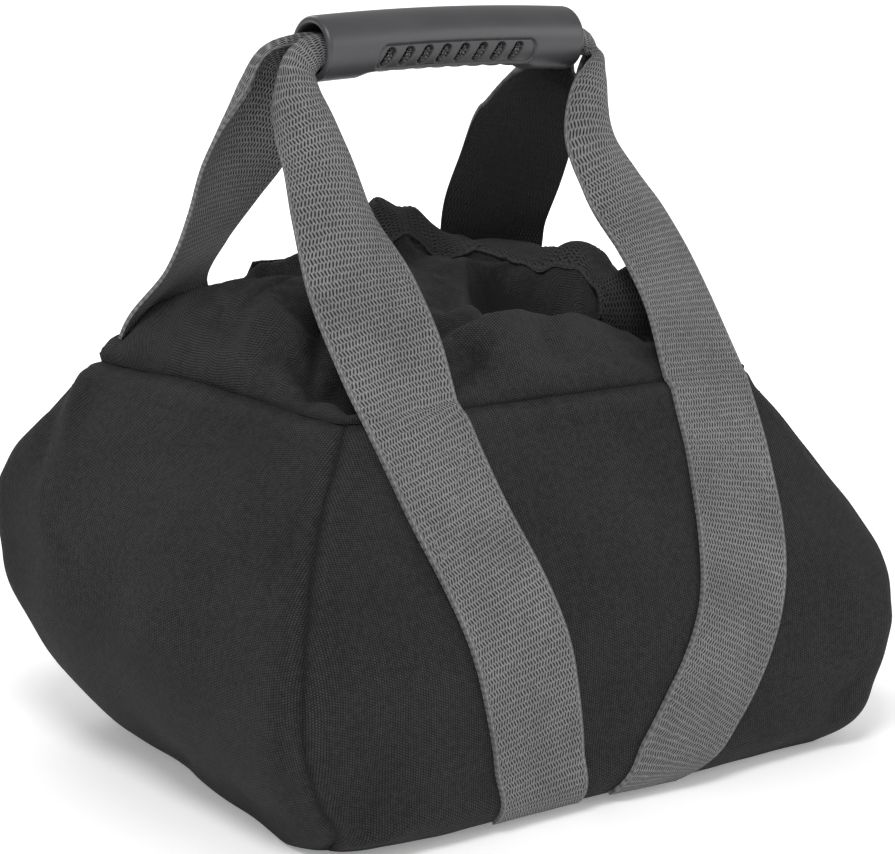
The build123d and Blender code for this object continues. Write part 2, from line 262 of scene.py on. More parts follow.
def closed(grid):
    """Grid with its first column repeated after the last."""
    return np.concatenate([grid, grid[:, :1]], axis=1)


def slump(points):
    """Points of the sack or its top moved by the lean of the upper sack."""
    x, y, z = np.moveaxis(np.asarray(points, float), -1, 0)
    rise = smooth((z - SLUMP_Z[0]) / (SLUMP_Z[1] - SLUMP_Z[0]))
    shift = np.zeros(points.shape[:-1] + (2,))
    for (sx, sy), move in SLUMP.items():
        near_x = np.clip((1 + sx * x / RIM_X) / 2, 0, SLUMP_OVER)
        near_y = np.clip((1 + sy * y / RIM_Y) / 2, 0, SLUMP_OVER)
        share = np.minimum(near_x * near_y, 1) ** SLUMP_FOCUS
        shift += (share * rise)[..., None] * np.array(move)
    return np.stack([x + shift[..., 0], y + shift[..., 1], z], -1)


# ---- meshes ------------------------------------------------------------------------------------
def add_mesh(name, verts, faces):
    """Smooth mesh object from points in mm and a list of faces."""
    mesh = bpy.data.meshes.new(name)
    mesh.from_pydata((np.asarray(verts) * MM).tolist(), [], faces)
    mesh.polygons.foreach_set("use_smooth", np.ones(len(mesh.polygons), bool))
    obj = bpy.data.objects.new(name, mesh)
    bpy.context.scene.collection.objects.link(obj)
    return obj


def add_object(name, verts, faces, uvs=None, wear_and_shade=None, sharp=40):
    """Mesh object from points in mm, with an optional mm UV map and a value for each point of wear and
    painted shade.
    """
    obj = add_mesh(name, verts, np.asarray(faces).tolist())
    mesh = obj.data
    mesh.validate()
    if uvs is not None:
        layer = mesh.uv_layers.new(name="metric")
        index = np.empty(len(mesh.loops), int)
        mesh.loops.foreach_get("vertex_index", index)
        layer.data.foreach_set("uv", np.asarray(uvs)[index].astype(np.float32).ravel())
    if wear_and_shade is not None:
        layer = mesh.attributes.new("wear_and_shade", "FLOAT", "POINT")
        layer.data.foreach_set("value", np.asarray(wear_and_shade, np.float32).ravel())
    mesh.set_sharp_from_angle(angle=radians(sharp))
    return obj


def grid_quads(rows, cols, keep=None):
    """Quads of a grid, wound for an outward normal, with some cells left out."""
    r, c = np.meshgrid(np.arange(rows - 1), np.arange(cols - 1), indexing="ij")
    a = r * cols + c
    quads = np.stack([a, a + 1, a + cols + 1, a + cols], -1)
    return quads[keep] if keep is not None else quads.reshape(-1, 4)


def border_edges(quads):
    """Directed edges used by only one quad."""
    edges = np.concatenate([quads[:, [i, (i + 1) % 4]] for i in range(4)])
    seen = {(a, b) for a, b in edges.tolist()}
    return np.array([(a, b) for a, b in seen if (b, a) not in seen])


def add_sheet(name, outer, thick, uv, keep=None, wear_and_shade=None, normals=None):
    """Closed thin solid under a grid of outer points."""
    rows, cols = outer.shape[:2]
    normals = grid_normals(outer) if normals is None else normals
    inner = outer - normals * thick
    quads = grid_quads(rows, cols, keep)
    count = rows * cols
    edges = border_edges(quads)
    edges = edges[np.lexsort((edges[:, 1], edges[:, 0]))]
    rim = np.stack([edges[:, 1], edges[:, 0], edges[:, 0] + count, edges[:, 1] + count], -1)
    faces = np.concatenate([quads, quads[:, ::-1] + count, rim])
    verts = np.concatenate([outer.reshape(-1, 3), inner.reshape(-1, 3)])
    uvs = np.tile(uv.reshape(-1, 2), (2, 1))
    wear_and_shade = np.zeros(count) if wear_and_shade is None else wear_and_shade.ravel()
    used = np.unique(faces)
    slot = np.zeros(2 * count, int)
    slot[used] = np.arange(len(used))
    return add_object(name, verts[used], slot[faces], uvs[used], np.tile(wear_and_shade, 2)[used])


def ribbon_uv(across, along):
    """UV map of a ribbon, in mm across and along it."""
    return np.stack(np.broadcast_arrays(across[None], along[:, None]), -1)


def metric_uv(grid):
    """UV map in mm: run along each row and up each column, from the middle of the grid."""
    along = np.linalg.norm(np.diff(grid, axis=1), axis=2)
    up = np.linalg.norm(np.diff(grid, axis=0), axis=2)
    u = np.concatenate([np.zeros((grid.shape[0], 1)), np.cumsum(along, axis=1)], axis=1)
    u -= u[:, u.shape[1] // 2][:, None]
    v = np.concatenate([np.zeros((1, grid.shape[1])), np.cumsum(up, axis=0)], axis=0)
    return np.stack([u, v], -1)


# Rings of a stitch: place along it in lengths, size and lift in radii.
STITCH = [(-0.5, 0.25, -0.9), (-0.3, 0.9, 0.1), (0.0, 1.0, 0.45), (0.3, 0.9, 0.1), (0.5, 0.25, -0.9)]


def add_stitches(name, points, normals, length=2.4, radius=0.4, sink=0.25):
    """Row of raised thread stitches along points, each dipping into the cloth at its ends."""
    run = unit(np.gradient(points, axis=0))
    side = unit(np.cross(run, normals))
    sides = 6
    verts, faces = [], []
    for along, size, lift in STITCH:
        centre = points + run * along * length + normals * (lift * radius - sink)
        for k in range(sides):
            turn = 2 * pi * k / sides
            verts.append(centre + radius * size * (cos(turn) * side + sin(turn) * normals))
    verts = np.stack(verts, 1)
    base = np.arange(len(points)) * len(STITCH) * sides
    for ring in range(len(STITCH) - 1):
        for k in range(sides):
            a, b = ring * sides + k, ring * sides + (k + 1) % sides
            faces.append(np.stack([base + a, base + b, base + b + sides, base + a + sides], -1))
    last = (len(STITCH) - 1) * sides
    caps = [[int(s) + k for k in reversed(range(sides))] for s in base]
    caps += [[int(s) + last + k for k in range(sides)] for s in base]
    return add_mesh(name, verts.reshape(-1, 3), np.concatenate(faces).tolist() + caps)


# ---- material graphs ---------------------------------------------------------------------------
class Graph:
    """Short way to write a node material."""

    def __init__(self, name):
        self.material = bpy.data.materials.new(name)
        self.material.use_nodes = True
        self.tree = self.material.node_tree
        self.shader = self.tree.nodes["Principled BSDF"]

    def wire(self, value, socket):
        if isinstance(value, bpy.types.NodeSocket):
            self.tree.links.new(value, socket)
        elif value is not None:
            socket.default_value = value

    def math(self, operation, a, b=None, c=None):
        node = self.tree.nodes.new("ShaderNodeMath")
        node.operation = operation
        for value, socket in zip((a, b, c), node.inputs):
            self.wire(value, socket)
        return node.outputs[0]

    def add(self, a, b):
        return self.math("ADD", a, b)

    def sub(self, a, b):
        return self.math("SUBTRACT", a, b)

    def mul(self, a, b):
        return self.math("MULTIPLY", a, b)

    def noise(self, vector, scale, detail=2.0):
        node = self.tree.nodes.new("ShaderNodeTexNoise")
        self.wire(vector, node.inputs["Vector"])
        node.inputs["Scale"].default_value = scale
        node.inputs["Detail"].default_value = detail
        return node.outputs["Fac"]

    def ramp(self, value, low, high):
        """Value mapped from low..high to 0..1, clamped."""
        node = self.tree.nodes.new("ShaderNodeMapRange")
        self.wire(value, node.inputs["Value"])
        node.inputs["From Min"].default_value = low
        node.inputs["From Max"].default_value = high
        return node.outputs["Result"]

    def mix(self, amount, a, b):
        node = self.tree.nodes.new("ShaderNodeMix")
        node.data_type = "RGBA"
        self.wire(amount, node.inputs["Factor"])
        for value, socket in ((a, node.inputs["A"]), (b, node.inputs["B"])):
            self.wire((*value, 1.0) if isinstance(value, tuple) else value, socket)
        return node.outputs["Result"]

    def coordinates(self, kind="Object"):
        return self.tree.nodes.new("ShaderNodeTexCoord").outputs[kind]

    def split(self, vector):
        node = self.tree.nodes.new("ShaderNodeSeparateXYZ")
        self.wire(vector, node.inputs[0])
        return node.outputs

    def attribute(self, name):
        node = self.tree.nodes.new("ShaderNodeAttribute")
        node.attribute_name = name
        return node.outputs["Fac"]

    def bump(self, height, distance, strength=1.0):
        node = self.tree.nodes.new("ShaderNodeBump")
        self.wire(height, node.inputs["Height"])
        node.inputs["Distance"].default_value = distance
        node.inputs["Strength"].default_value = strength
        self.tree.links.new(node.outputs[0], self.shader.inputs["Normal"])

    def finish(self, colour, roughness, sheen=0.0, gloss=0.5, **extra):
        self.wire(colour, self.shader.inputs["Base Color"])
        self.wire(roughness, self.shader.inputs["Roughness"])
        self.shader.inputs["Sheen Weight"].default_value = sheen
        self.shader.inputs["Sheen Roughness"].default_value = 0.6
        self.shader.inputs["Specular IOR Level"].default_value = gloss
        for key, value in extra.items():
            self.wire(value, self.shader.inputs[key.replace("_", " ")])
        return self.material


def woven(g, u, v, pitch_u, pitch_v):
    """Height of a staggered weave: raised oval floats with gaps between them."""
    across = g.math("DIVIDE", u, pitch_u)
    column = g.math("FLOOR", across)
    shift = g.mul(g.math("FLOORED_MODULO", column, 2.0), 0.5)
    along = g.add(g.math("DIVIDE", v, pitch_v), shift)
    side = g.math("SINE", g.mul(g.math("FRACT", across), pi))
    run = g.math("SINE", g.mul(g.math("FRACT", along), pi))
    return g.math("POWER", g.mul(side, run), 0.7)


ROW_PITCH = 2.8            # rows of floats along the carry webbing
FLOAT_PITCH = 1.6          # floats within a row


def zigzag(g, u, v, pitch_u, pitch_v, slant):
    """Height of a webbing face: full everywhere but for slanted gaps between the floats of a row."""
    across = g.math("DIVIDE", u, pitch_u)
    odd = g.math("FLOORED_MODULO", g.math("FLOOR", across), 2.0)
    part = g.math("FRACT", across)
    tilt = g.mul(g.sub(part, 0.5), g.math("MULTIPLY_ADD", odd, 2 * slant, -slant))
    along = g.add(g.math("MULTIPLY_ADD", odd, 0.5, tilt), g.math("DIVIDE", v, pitch_v))
    side = g.math("POWER", g.math("SINE", g.mul(part, pi)), 0.6)
    run = g.math("SINE", g.mul(g.math("FRACT", along), pi))
    return g.sub(1.0, g.mul(side, g.sub(1.0, run)))


def cloth_material(name, dark, light, pitch, depth, flat=False, sheen=0.03, gap=0.35):
    """Woven cloth. pitch is in mm, along and up the UV map, or in object space when flat is set."""
    g = Graph(name)
    place = g.coordinates()
    if flat:
        x, y, z = g.split(place)
        u = g.mul(g.add(x, y), 1000.0)
        v = g.mul(z, 1000.0)
    else:
        u, v, _ = g.split(g.coordinates("UV"))
    height = woven(g, u, v, *pitch)
    fibre = g.noise(place, 1800.0, 1.0)
    patch = g.ramp(g.noise(place, 22.0, 4.0), 0.3, 0.7)
    thread = g.ramp(g.noise(place, 420.0, 1.0), 0.3, 0.7)
    tone = g.add(g.mul(patch, 0.4), g.mul(thread, 0.6))
    # The point attribute lightens rubbed places and darkens the cloth with painted shade in seams and
    # hollows.
    tone = g.add(tone, g.mul(g.attribute("wear_and_shade"), 0.8))
    base = g.mix(g.math("MINIMUM", tone, 1.0), dark, light)
    colour = g.mix(g.ramp(height, 0.0, gap), tuple(c * 0.2 for c in dark), base)
    g.bump(g.add(height, g.mul(fibre, 0.3)), depth * MM)
    roughness = g.sub(0.92, g.mul(height, 0.12))
    return g.finish(colour, roughness, sheen, gloss=0.12)


def webbing_material(name, dark, light, width, inner=None, gap=1.0):
    """Coarse webbing: rows of floats between two fine selvedges, with painted shade on the inner face
    where inner is given.
    """
    g = Graph(name)
    u, v, _ = g.split(g.coordinates("UV"))
    place = g.coordinates()
    drift = g.mul(g.sub(g.noise(place, 260.0, 1.0), 0.5), 1.6)
    v = g.add(v, drift)
    reach = g.math("ABSOLUTE", u)
    selvedge = g.ramp(reach, width / 2 - 2.2, width / 2 - 1.6)
    body = zigzag(g, v, u, ROW_PITCH, FLOAT_PITCH, 0.5)
    strands = woven(g, u, g.math("MULTIPLY_ADD", reach, 1.4, v), 1.3, 3.4)
    edge = g.math("MULTIPLY_ADD", strands, 0.45, 0.6)
    keep = g.sub(1.0, selvedge)
    height = g.add(g.mul(body, keep), g.mul(edge, selvedge))
    thread = g.ramp(g.noise(place, 700.0, 2.0), 0.3, 0.7)
    patch = g.ramp(g.noise(place, 30.0, 3.0), 0.3, 0.7)
    tone = g.add(g.mul(thread, 0.55), g.mul(patch, 0.45))
    base = g.mix(tone, dark, light)
    gaps = tuple(c * 0.12 for c in dark)
    colour = g.mix(g.ramp(height, 0.42, gap), gaps, base)
    if inner is not None:
        # Marked points take the inner colour: painted shade on the inner face of the webbing.
        colour = g.mix(g.attribute("wear_and_shade"), colour, g.mix(g.ramp(height, 0.1, 0.8), gaps, inner))
    g.bump(g.add(height, g.mul(thread, 0.2)), 0.55 * MM)
    return g.finish(colour, 0.68, 0.02, gloss=0.25)


def grip_material():
    """Satin moulded plastic with a fine grain and light rubbing."""
    g = Graph("grip_plastic_looks")
    place = g.coordinates()
    grain = g.noise(place, 2600.0, 2.0)
    rub = g.ramp(g.noise(place, 35.0, 5.0), 0.35, 0.75)
    colour = g.mix(rub, (0.036, 0.036, 0.039), (0.052, 0.052, 0.056))
    g.bump(grain, 0.03 * MM)
    return g.finish(colour, g.add(0.36, g.mul(rub, 0.1)))


def plain_material(name, dark, light, roughness, scale, depth, **extra):
    """Moulded, film or granular surface with uneven tone and a fine bump."""
    g = Graph(name)
    place = g.coordinates()
    grain = g.noise(place, scale, 3.0)
    colour = g.mix(g.ramp(grain, 0.3, 0.7), dark, light)
    g.bump(grain, depth * MM)
    return g.finish(colour, roughness, **extra)


MATERIALS = {
    "canvas": cloth_material("canvas_looks", (0.018, 0.018, 0.019), (0.044, 0.044, 0.046),
                             (1.25, 1.15), 0.4, gap=0.8),
    "web": webbing_material("webbing_looks", (0.13, 0.13, 0.132), (0.27, 0.27, 0.274), WEB_W),
    "dark_web": webbing_material("dark_webbing_looks", (0.026, 0.026, 0.028), (0.050, 0.050, 0.053),
                                 BAND_W),
    # Grey webbing with painted shade on its inner face.
    "shaded_web": webbing_material("shaded_webbing_looks", (0.13, 0.13, 0.132), (0.27, 0.27, 0.274),
                                  WEB_W, inner=(0.019, 0.019, 0.020)),
    "thread": cloth_material("thread_looks", (0.16, 0.16, 0.163), (0.28, 0.28, 0.285),
                             (0.5, 0.9), 0.1, flat=True),
    "dark_thread": cloth_material("dark_thread_looks", (0.02, 0.02, 0.021), (0.045, 0.045, 0.047),
                                  (0.5, 0.9), 0.1, flat=True),
    "binding": cloth_material("binding_looks", (0.018, 0.018, 0.018), (0.036, 0.036, 0.036),
                              (1.6, 1.2), 0.2, flat=True),
    "grip": grip_material(),
    "rib": plain_material("rib_looks", (0.010, 0.010, 0.011), (0.030, 0.030, 0.032), 0.16, 700.0, 0.12),
    "hook": plain_material("hook_looks", (0.02, 0.02, 0.022), (0.05, 0.05, 0.053), 0.7, 900.0, 0.6),
    "loop": plain_material("loop_looks", (0.02, 0.02, 0.022), (0.045, 0.045, 0.048), 0.95, 500.0, 0.8,
                           sheen=0.5),
    "liner": plain_material("liner_looks", (0.66, 0.66, 0.64), (0.78, 0.78, 0.76), 0.25, 60.0, 1.5,
                            Alpha=0.85),
    "tie": plain_material("tie_looks", (0.03, 0.03, 0.03), (0.05, 0.05, 0.05), 0.45, 300.0, 0.1),
    "sand": plain_material("sand_looks", (0.32, 0.24, 0.15), (0.62, 0.50, 0.34), 0.95, 1400.0, 0.5),
}


def install(obj, look, nodes=(), body=None):
    """Give a piece its material and slot, the CAD nodes it stands for and the body it rides."""
    obj.data.materials.clear()
    obj.data.materials.append(MATERIALS[look])
    if nodes:
        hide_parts(*nodes)
    if body:
        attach(obj, body)


# ---- canvas walls ------------------------------------------------------------------------------
def level_values(z):
    """Section of the sack at heights in mm, as columns of half sizes and radii in mm."""
    keys = np.array(LEVELS)
    keys[:, 0] *= RIM_Z
    keys[:, 1:] *= BULGE_X
    return curve(keys, z)


def corner_arc(x, y, radius, start):
    """Quarter turn at a plan corner, anticlockwise from a start angle."""
    centre = np.array([x - np.sign(x) * radius, y - np.sign(y) * radius])
    turn = np.radians(start) + np.linspace(0, pi / 2, 17)
    return centre + radius * np.stack([np.cos(turn), np.sin(turn)], -1)


SIDES = ("front", "right", "rear", "left")


def wall_row(values, side, count):
    """One level of one panel, between the middles of its two corners, anticlockwise in plan."""
    x_front, x_rear, y_front, y_rear, r_front, r_rear = values
    arcs = [
        corner_arc(-x_front, -y_front, r_front, 180),
        corner_arc(x_front, -y_front, r_front, 270),
        corner_arc(x_rear, y_rear, r_rear, 0),
        corner_arc(-x_rear, y_rear, r_rear, 90),
    ]
    first = SIDES.index(side)
    start, end = arcs[first], arcs[(first + 1) % 4]
    return resample(np.concatenate([start[8:], end[:9]]), crowded(count))


def plan_ring(values, count):
    """Closed level line of the whole sack, anticlockwise from the front left corner."""
    return np.concatenate([wall_row(values, side, count)[:-1] for side in SIDES])


def seam_wobble(z, seed):
    """Pull of a seam along its length."""
    return PINCH * (1 + 0.35 * waves(z, 0 * z, 26, seed, 5))


def panel_push(x, z, edge, seed):
    """How far the cloth stands out of the sack's plain surface."""
    below_rim = RIM_Z - z
    crown = PUFF * smooth(edge / PUFF_REACH) + SEAM_ROLL * smooth(np.minimum(edge, below_rim) / 5)
    crown = crown - DRAWN_IN * smooth(z / 30)
    crown = crown + BELLY * (1 - (x / np.abs(x).max()) ** 2) * smooth(z / PUFF_REACH)
    lumps = LUMP * waves(x, z, 105, seed) + SMALL_LUMP * waves(x, z * 0.7, 34, seed + 1)
    lumps = lumps * smooth(edge / 26)
    seam = -seam_wobble(z, seed + 2) * np.exp(-edge / 2.4)
    pucker = PUCKER * waves(x * 0.4, z, 20, seed + 3) * np.exp(-edge / 12.0)
    pucker = pucker + PUCKER * waves(x, z * 0.3, 14, seed + 4) * np.exp(-below_rim / 9.0)
    hem = -PINCH * np.exp(-below_rim / 2.2) - 0.9 * np.exp(-z / 4.0)
    return crown + lumps + seam + pucker + hem


def dent(x, z, start, end, width, depth):
    """Soft straight crease from start to end on a panel."""
    start, end = np.array(start, float), np.array(end, float)
    run = end - start
    t = np.clip(((x - start[0]) * run[0] + (z - start[1]) * run[1]) / (run @ run), 0, 1)
    off = np.hypot(x - start[0] - t * run[0], z - start[1] - t * run[1])
    return depth * np.exp(-(off / width) ** 2) * np.sin(pi * np.clip(0.12 + 0.8 * t, 0, 1))


# Creases on each panel: start and end (distance along the panel from its middle, height), width, depth.
CREASES = {
    "front": [((-150, 8), (-118, 16), 4, 2.4), ((-148, 18), (-128, 60), 7, -1.8),
              ((120, 12), (146, 40), 6, -2.0)],
    "left": [((-96, 170), (-70, 128), 5, -3.2), ((-84, 172), (-58, 136), 4, 2.6),
             ((-60, 112), (-34, 92), 6, -1.6), ((-20, 8), (10, 24), 5, -1.8),
             ((104, 20), (122, 70), 7, -2.2), ((88, 168), (98, 110), 6, -1.6)],
    "rear": [((-96, 166), (-70, 120), 6, -2.6), ((92, 168), (70, 126), 6, -2.4),
             ((-40, 10), (10, 26), 6, -1.8)],
    "right": [((-84, 170), (-56, 128), 6, -2.8), ((78, 168), (60, 120), 6, -2.2),
              ((10, 10), (46, 28), 6, -1.8)],
}


def seam_wear_and_shade(distance):
    """Painted shade darkens the cloth down in a seam; the roll beside it is rubbed a little lighter."""
    return 0.3 * np.exp(-((distance - 5) / 3) ** 2) - 1.2 * np.exp(-distance / 1.2)


def make_wall(side, seed):
    """One wall panel: a crowned sheet, pinched and puckered along its seams."""
    heights = WALL_FOOT + (RIM_Z - 0.2 - WALL_FOOT) * crowded(round(RIM_Z / STEP))
    span = 2 * BULGE_X if side in ("front", "rear") else 1.5 * BULGE_X
    cols = round(span / STEP)
    rows = [wall_row(values, side, cols) for values in level_values(heights)]
    grid = np.stack([at_height(row, z) for row, z in zip(rows, heights)])
    uv = metric_uv(grid)
    edge = uv[..., 0].max(axis=1, keepdims=True) - np.abs(uv[..., 0])
    u, z = uv[..., 0], grid[..., 2]
    push = panel_push(u, z, edge, seed)
    for start, end, width, depth in CREASES[side]:
        push = push + dent(u, z, start, end, width, depth)
    push = np.where(push < 0, DEEPEST * np.tanh(push / DEEPEST), push)
    grid = slump(grid + grid_normals(grid) * push[..., None])
    foot = np.exp(-(heights - WALL_FOOT) / 4)[:, None]
    grid[..., 2] = np.maximum(grid[..., 2] + (heights[:, None] - grid[..., 2]) * foot, WALL_FOOT / 2)
    # Painted shade down in the seams and the rubbed lighter roll beside them; the cloth is also a little
    # lighter towards the foot.
    near_seam = np.minimum(edge, np.minimum(RIM_Z - z, z))
    wear_and_shade = seam_wear_and_shade(near_seam) + 0.15 * np.exp(-z / 25)
    piece = add_sheet(f"{side}_wall", grid, CANVAS, uv, wear_and_shade=wear_and_shade)
    install(piece, "canvas", [f"{side}_panel"], "bag")
    return grid


def make_base():
    """Base panel: slightly uneven underneath, turned up to its seam with the walls."""
    shares = np.concatenate([[0.984, 0.984, 0.984], np.linspace(0.97, 0.02, 60)])
    heights = np.concatenate([[BASE_TURN + 0.6, 2.4, 0.8], np.zeros(60)])
    rings = []
    for share, z in zip(shares, heights):
        ring = plan_ring(level_values(z)[0], 90) * share
        lift = 0.35 + 0.35 * waves(ring[:, 0], ring[:, 1], 70, 61) if share < 1 else 0
        rings.append(np.column_stack([ring, np.maximum(np.full(len(ring), z) + lift, 0)]))
    grid = closed(np.stack(rings)[::-1])
    inset = grid.copy()
    inset[..., :2] *= 1 - CANVAS / RIM_Y
    inset[..., 2] += CANVAS * (grid[..., 2] < BASE_TURN)
    piece = add_sheet("base_sheet", grid, 1.0, grid[..., :2], normals=grid - inset)
    install(piece, "canvas", ["base_panel"], "bag")


# ---- slack top ---------------------------------------------------------------------------------
def plate_spline(places, heights):
    """Thin-plate surface through heights at places; returns a function of x and y."""
    def kernel(d2):
        return 0.5 * d2 * np.log(np.maximum(d2, 1e-9))

    n = len(places)
    gap = ((places[:, None] - places[None]) ** 2).sum(-1)
    plane = np.column_stack([np.ones(n), places])
    left = np.block([[kernel(gap) + 4.0 * np.eye(n), plane], [plane.T, np.zeros((3, 3))]])
    weights = np.linalg.solve(left, np.concatenate([heights, np.zeros(3)]))

    def surface(x, y):
        total = weights[n] + weights[n + 1] * x + weights[n + 2] * y
        for (px, py), w in zip(places, weights[:n]):
            total = total + w * kernel((x - px) ** 2 + (y - py) ** 2)
        return total

    return surface


def rear_slope(y):
    """Height over the rim of the flat rear slope, as the CAD roof has it."""
    fall = (FLAP_HIGH[2] - FLAP_LOW[2]) / (FLAP_HIGH[1] - FLAP_LOW[1])
    return (RIM_Y - y) * fall


def top_heights(x, y):
    """Height over the rim of the slack top."""
    places = [p[:2] for p in TOP_POINTS]
    heights = [p[2] for p in TOP_POINTS]
    for turn in np.linspace(0, 1, 12, endpoint=False):
        for sx in (-1, 1):
            places.append((sx * RIM_X, (2 * turn - 1) * RIM_Y))
            places.append(((2 * turn - 1) * RIM_X, sx * RIM_Y))
            heights += [0.0, 0.0]
    for px in (-58, -20, 20, 58):
        for py in (REAR_TOP_Y, 70, 80):
            places.append((px, py))
            heights.append(rear_slope(py) + 0.2)
    surface = plate_spline(np.array(places, float), np.array(heights, float))
    return surface(x, y)


def fold(x, y, start, end, width, height, skew=0.0):
    """Raised or sunken crease between two plan points, steeper on one side with skew."""
    start, end = np.array(start, float), np.array(end, float)
    run = end - start
    size = np.hypot(*run)
    t = ((x - start[0]) * run[0] + (y - start[1]) * run[1]) / size ** 2
    off = ((x - start[0]) * run[1] - (y - start[1]) * run[0]) / size
    width = width * (1 + skew * np.tanh(off / width))
    ends = smooth(1.2 + t * 5) * smooth(1.2 + (1 - t) * 5)
    return height * np.exp(-np.sqrt((off / width) ** 2 + 0.05)) * ends


# Creases of the top: start, end, width, height, skew.
FOLDS = [
    ((24, 16), (-22, -44), 12, 13.0, 0.78),
    ((36, 4), (8, -44), 7, -5.0, 0.0),
    ((-36, -62), (78, -66), 9, 8.0, 0.6),
    ((16, 30), (40, 34), 7, -3.0, 0.0),
    ((-10, 36), (-34, -30), 12, -4.0, 0.0),
    ((-62, 34), (-46, -30), 14, 2.5, 0.4),
    ((-109, -90), (-104, -56), 7, -9.0, 0.0),
    ((-116, -54), (-84, -18), 6, -12.0, 0.0),
    ((118, -88), (110, -58), 7, -8.0, 0.0),
    ((-86, -18), (-92, 10), 13, -4.0, 0.0),
    ((-126, 66), (-94, 68), 7, 4.0, 0.7),
    ((-126, 74), (-98, 77), 4, -6.0, 0.0),
    ((88, -50), (62, -55), 6, -5.0, 0.0),
    ((100, -30), (84, 10), 10, 3.0, 0.0),
    ((112, 40), (80, 62), 7, 4.0, 0.2),
    ((-40, -70), (-52, -36), 7, -4.0, 0.0),
]


def top_grid():
    """Points of the slack top over the rim's rounded rectangle, and their distance from the rim."""
    cols, rows = round(2 * RIM_X / TOP_STEP), round(2 * RIM_Y / TOP_STEP)
    u, v = np.meshgrid(np.linspace(-1, 1, cols), np.linspace(-1, 1, rows))
    corner = 3.5 * np.abs(u * v) ** 15
    x = RIM_X * u - np.sign(u) * corner
    y = RIM_Y * v - np.sign(v) * corner
    edge = np.minimum(RIM_X * (1 - np.abs(u)), RIM_Y * (1 - np.abs(v)))
    rise = top_heights(x, y)
    loose = smooth((REAR_TOP_Y + 2 - y) / 12) + smooth((np.abs(x) - 62) / 12)
    loose = np.clip(loose, 0, 1) * smooth(edge / 14)
    for start, end, width, height, skew in FOLDS:
        rise = rise + fold(x, y, start, end, width, height, skew) * loose
    rise = rise + (1.1 * waves(x, y, 60, 31) + 0.5 * waves(x, y, 24, 32)) * loose
    rise = np.maximum(rise, 0.5) * smooth(0.25 + edge / 9) * smooth(edge / 1.2)
    pucker = 0.5 * waves(x, y, 11, 33) * np.exp(-edge / 9) * smooth(edge / 4)
    z = RIM_Z + 0.1 + rise + pucker - 0.8 * np.exp(-edge / 2.5)
    grid = np.stack([x, y, z], -1)
    roll = 1.8 * smooth(edge / 2.4) * np.exp(-(edge / 8) ** 2)
    return grid + grid_normals(grid) * roll[..., None], edge


RELAX_FRAMES = 18
RELAX_REACH = 5.0          # no point of the cloth moves further than this
RELAX_HOLD = 0.18          # how firmly the loose cloth is held to its modelled shape
RELAX_CLOTH = {
    "quality": 5, "mass": 0.25, "tension_stiffness": 12, "compression_stiffness": 12,
    "shear_stiffness": 6, "bending_stiffness": 5.0, "pin_stiffness": 0.6, "shrink_min": -0.018,
}


def relax(grid, edge):
    """Cloth simulation of the slack top: the canvas is a little too large for its shape and buckles."""
    piece = add_object("top_cloth", grid.reshape(-1, 3), grid_quads(*grid.shape[:2]))
    group = piece.vertex_groups.new(name="pin")
    x, y = grid[..., 0], grid[..., 1]
    rear = smooth((y - REAR_TOP_Y + 4) / 4) * smooth((66 - np.abs(x)) / 4)
    hold = np.clip(np.where(edge < 2.5, 1.0, RELAX_HOLD) + rear, 0, 1)
    hold = np.round(hold.ravel(), 2)
    for value in np.unique(hold):
        group.add(np.flatnonzero(hold == value).tolist(), float(value), "REPLACE")
    modifier = piece.modifiers.new("cloth", "CLOTH")
    settings = modifier.settings
    for setting, value in RELAX_CLOTH.items():
        setattr(settings, setting, value)
    settings.vertex_group_mass = "pin"
    settings.effector_weights.gravity = 0.25
    modifier.collision_settings.use_collision = False
    modifier.point_cache.frame_start = 1
    modifier.point_cache.frame_end = RELAX_FRAMES
    scene = bpy.context.scene
    for step in range(RELAX_FRAMES):
        scene.frame_set(1 + step)
    shape = piece.evaluated_get(bpy.context.evaluated_depsgraph_get()).to_mesh()
    moved = np.empty(grid.size)
    shape.vertices.foreach_get("co", moved)
    scene.frame_set(1)
    bpy.data.objects.remove(piece)
    shift = moved.reshape(grid.shape) / MM - grid
    size = np.linalg.norm(shift, axis=-1, keepdims=True)
    shift = shift * np.minimum(1, RELAX_REACH / np.maximum(size, 1e-6))
    return grid + shift * smooth((edge - 2) / 14)[..., None]


def cavity(z, reach=60):
    """How far each point lies below the cloth around it, from -1 on a crest to 1 in a hollow."""
    around = z.copy()
    for _ in range(reach):
        around[1:-1, 1:-1] = (around[1:-1, 1:-1] + around[:-2, 1:-1] + around[2:, 1:-1]
                              + around[1:-1, :-2] + around[1:-1, 2:]) / 5
    return np.clip((around - z) / 4, -1, 1)


def make_top():
    """Slack top with the filling mouth left open under the flap; returns it before its lean."""
    grid, edge = top_grid()
    grid = relax(grid, edge)
    middle = (grid[:-1, :-1] + grid[1:, 1:]) / 2
    leaning = slump(grid)
    inside = (middle[..., 1] > FLAP_LOW[1] + 3) & (middle[..., 1] < FLAP_HIGH[1] - 2)
    inside &= np.abs(middle[..., 0]) < FLAP_HIGH[0] - 3
    # Painted shade darkens the hollows of the top's folds and painted light brightens their crests,
    # besides the seams' painted shade.
    wear_and_shade = seam_wear_and_shade(edge) - 0.6 * cavity(grid[..., 2]) * smooth(edge / 10)
    piece = add_sheet("slack_top", leaning, CANVAS, metric_uv(grid), keep=~inside, wear_and_shade=wear_and_shade)
    install(piece, "canvas", ["top_panel"], "bag")
    return grid


